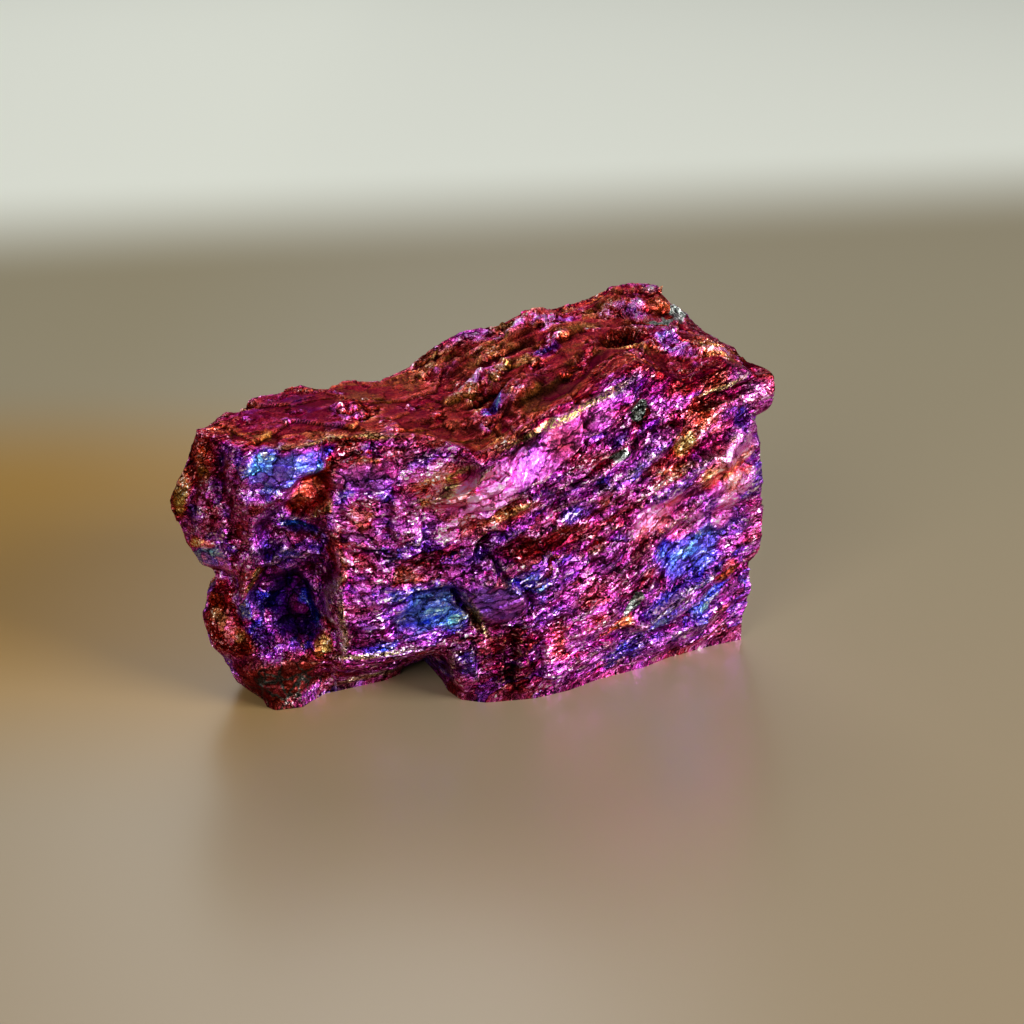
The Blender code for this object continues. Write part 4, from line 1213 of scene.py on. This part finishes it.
def ore_light(tree, known):
    """Tone times the fine pattern. A crystal's factor is 1 plus its share times its chance squared less a third, and
    a crack's goes from CRACK to 1 over its width. The last curve is 1.5 times the light over 1 plus 0.14 times it."""
    speckle, flat, edge = known["speckle"], known["flat"], known["crystals"][0]["Edge"]
    light = tree.blend(known["rim"], known["tone"], RIM_TONE)
    light = tree.math("MAXIMUM", light, tree.product(known["vein"], VEIN_TONE))
    fine = tree.product(known["fibre"], known["bare"])
    calm = tree.line(flat, -0.85, 1.0)
    widths = (tree.line(flat, 0.07, 0.04), 0.10, tree.product(calm, 0.14))
    for faces, (*_, share), width, bright in zip(known["crystals"], CRYSTALS, widths, (1, 1, calm)):
        own = tree.math("SUBTRACT", tree.math("POWER", faces["Chance"], 2.0), 1 / 3)
        fine = tree.product(fine, tree.line(own, tree.product(bright, share), 1.0))
        fine = tree.product(fine, tree.ramp(faces["Edge"], 0.0, width, CRACK, 1.0))
    # Painted glints: the crystals with much chance send back up to about twice the light.
    sparkle = tree.line(known["chance"], 1.2, 0.95)
    dots = tree.blend(calm, 1.0, tree.ramp(speckle, 0.39, 0.61, 0.30, 2.15))
    fine = tree.product(fine, tree.product(sparkle, dots))
    fine = tree.blend(tree.product(known["smooth"], 0.8), fine, tree.product(dots, 0.8))
    fine = tree.blend(tree.product(flat, 0.35), fine, tree.ramp(edge, 0.0, 0.10, 0.03, 0.52))
    light = tree.product(light, fine)
    return tree.math("DIVIDE", tree.product(light, 1.5), tree.line(light, 0.14, 1.0))


def ore_material():
    """A rough metal whose colour is the ore's colour times its light, with fine dots raised a tenth of a
    millimetre at most."""
    material, tree, shader = new_material("tarnished ore")
    known = ore_numbers(tree)
    bump = tree.tree.nodes.new("ShaderNodeBump")
    raised = {"Strength": tree.product(known["rough"], 0.6), "Distance": 0.1 * MM}
    for name, value in (raised | {"Height": known["speckle"], "Normal": known["normal"]}).items():
        tree.feed(bump.inputs[name], value)
    colour = tree.vector("SCALE", ore_colour(tree, known), ore_light(tree, known))
    tree.feed(shader["Base Color"], colour)
    tree.feed(shader["Metallic"], 1.0)
    tree.feed(shader["Specular Tint"], linear(246, 180, 202))
    tree.feed(shader["Roughness"], tree.line(known["dull"], 0.12, tree.line(known["speckle"], 0.20, 0.28)))
    tree.feed(shader["Normal"], bump.outputs["Normal"])
    return material


ore = ore_material()
stone = bpy.data.objects.new("peacock_ore_skin", mesh)
bpy.context.scene.collection.objects.link(stone)
stone.data.materials.append(ore)
stone.data.polygons.foreach_set("use_smooth", np.zeros(len(mesh.polygons), bool))
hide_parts("peacock_ore")
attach(stone, "root")
print("nodes in the ore's material:", len(ore.node_tree.nodes))

# %% [markdown]
# A metal shows what surrounds it, so the room matters as much as the stone. The table is pale beige and a little
# glossy, and far behind the stone it turns into the pale grey of a wall. One large plane is enough for both, because
# its colour changes with the distance behind the stone.

# %% The table
# The directions of behind and right are turned with the camera.
CAMERA_TURN = np.radians(-20)
# The table's colour in front and behind, the warm tint of the painted shadow on its left, the wall, and how the wall
# glows.
NEAR_TABLE, FAR_TABLE, WARM_SHADOW_TINT = (158, 140, 112), (154, 143, 115), (168, 126, 44)
WALL, WALL_GLOW = (206, 207, 196), (166, 169, 159)


def floor_material():
    """The table turns into the wall with distance. away is how far a point lies behind the middle, and right how
    far to its right, in metres, and each colour goes over into the next in an S-shaped curve along them."""
    material, tree, shader = new_material("table")
    where = tree.add("ShaderNodeTexCoord", out=3)
    sine, cosine = np.sin(CAMERA_TURN), np.cos(CAMERA_TURN)
    away = tree.vector("DOT_PRODUCT", where, (-sine, cosine, 0))
    right = tree.vector("DOT_PRODUCT", where, (cosine, sine, 0))
    table = tree.mix(tree.ramp(away, -0.10, 0.18, 0.0, 1.0), linear(*NEAR_TABLE), linear(*FAR_TABLE))
    wall = tree.ramp(tree.line(right, -0.2, away), 0.21, 0.32, 0.0, 1.0)
    left = tree.ramp(right, 0.0, -0.035, 0.0, 1.0)
    beside = tree.ramp(tree.math("ABSOLUTE", tree.math("SUBTRACT", away, 0.035)), 0.025, 0.085, 0.95, 0.0)
    # Painted shadow: a warm tint on the table just left of and behind the stone, where its shadow falls.
    table = tree.mix(tree.product(left, beside), table, linear(*WARM_SHADOW_TINT))
    tree.feed(shader["Base Color"], tree.mix(wall, table, linear(*WALL)))
    tree.feed(shader["Emission Color"], tree.mix(wall, linear(0, 0, 0), linear(*WALL_GLOW)))
    tree.feed(shader["Emission Strength"], 0.6)
    tree.feed(shader["Roughness"], 0.32)
    tree.feed(shader["Specular IOR Level"], tree.ramp(right, -0.08, 0.02, 0.05, 0.5))
    return material


def square(name, half, material):
    """A square on the ground, from -half to half in x and y, in metres."""
    mesh = bpy.data.meshes.new(name)
    corners = [(-half, -half, 0), (half, -half, 0), (half, half, 0), (-half, half, 0)]
    mesh.from_pydata(corners, [], [(0, 1, 2, 3)])
    plane = bpy.data.objects.new(name, mesh)
    plane.data.materials.append(material)
    bpy.context.scene.collection.objects.link(plane)
    return plane


square("table", 3.0, floor_material())
print("table and wall, as a screen shows them:", NEAR_TABLE, WALL)

# %% [markdown]
# One broad soft light stands on the right like a window, a weaker one fills from the front left, and a third comes
# from behind. The sky is dim, so that crevices stay dark. The camera looks slightly down on the front from the left.

# %% Lights and camera
CAMERA_HEIGHT = np.radians(22)
CAMERA_PLACE = np.array([-79.4, -236.1, 121.4])


def soft_light(name, place, size, watts, colour):
    """A square area light at place, in metres, that faces the stone. Its turns are the angles of the way from the
    stone to it."""
    light = bpy.data.lights.new(name, "AREA")
    light.shape, light.size, light.energy, light.color = "SQUARE", size, watts, colour
    lamp = bpy.data.objects.new(name, light)
    way = np.array(place) - (0, 0, 0.02)
    lamp.location = place
    lamp.rotation_euler = (np.arctan2(np.hypot(way[0], way[1]), way[2]), 0, np.arctan2(way[0], -way[1]))
    bpy.context.scene.collection.objects.link(lamp)
    return lamp


soft_light("window", (0.56, -0.56, 0.32), 0.46, 9.0, (1.0, 0.98, 0.95))
soft_light("fill", (-0.70, -0.70, 0.60), 0.50, 5.0, (1.0, 0.97, 0.93))
soft_light("back", (0.10, 0.70, 0.60), 0.50, 2.4, (0.95, 0.98, 1.0))

world = bpy.data.worlds.new("room")
world.use_nodes = True
world.node_tree.nodes["Background"].inputs["Color"].default_value = (0.80, 0.82, 0.84, 1)
world.node_tree.nodes["Background"].inputs["Strength"].default_value = 0.20
scene = bpy.context.scene
scene.world = world
scene.view_settings.view_transform = "Standard"

camera = bpy.data.objects.new("camera", bpy.data.cameras.new("camera"))
camera.data.lens, camera.data.sensor_width = 70, 36
camera.data.clip_start = 0.01
camera.location = CAMERA_PLACE * MM
camera.rotation_euler = (np.pi / 2 - CAMERA_HEIGHT, 0, CAMERA_TURN)
scene.collection.objects.link(camera)
scene.camera = camera
print("camera, mm from the stone:", np.linalg.norm(CAMERA_PLACE - (0, 0, 23)).round())
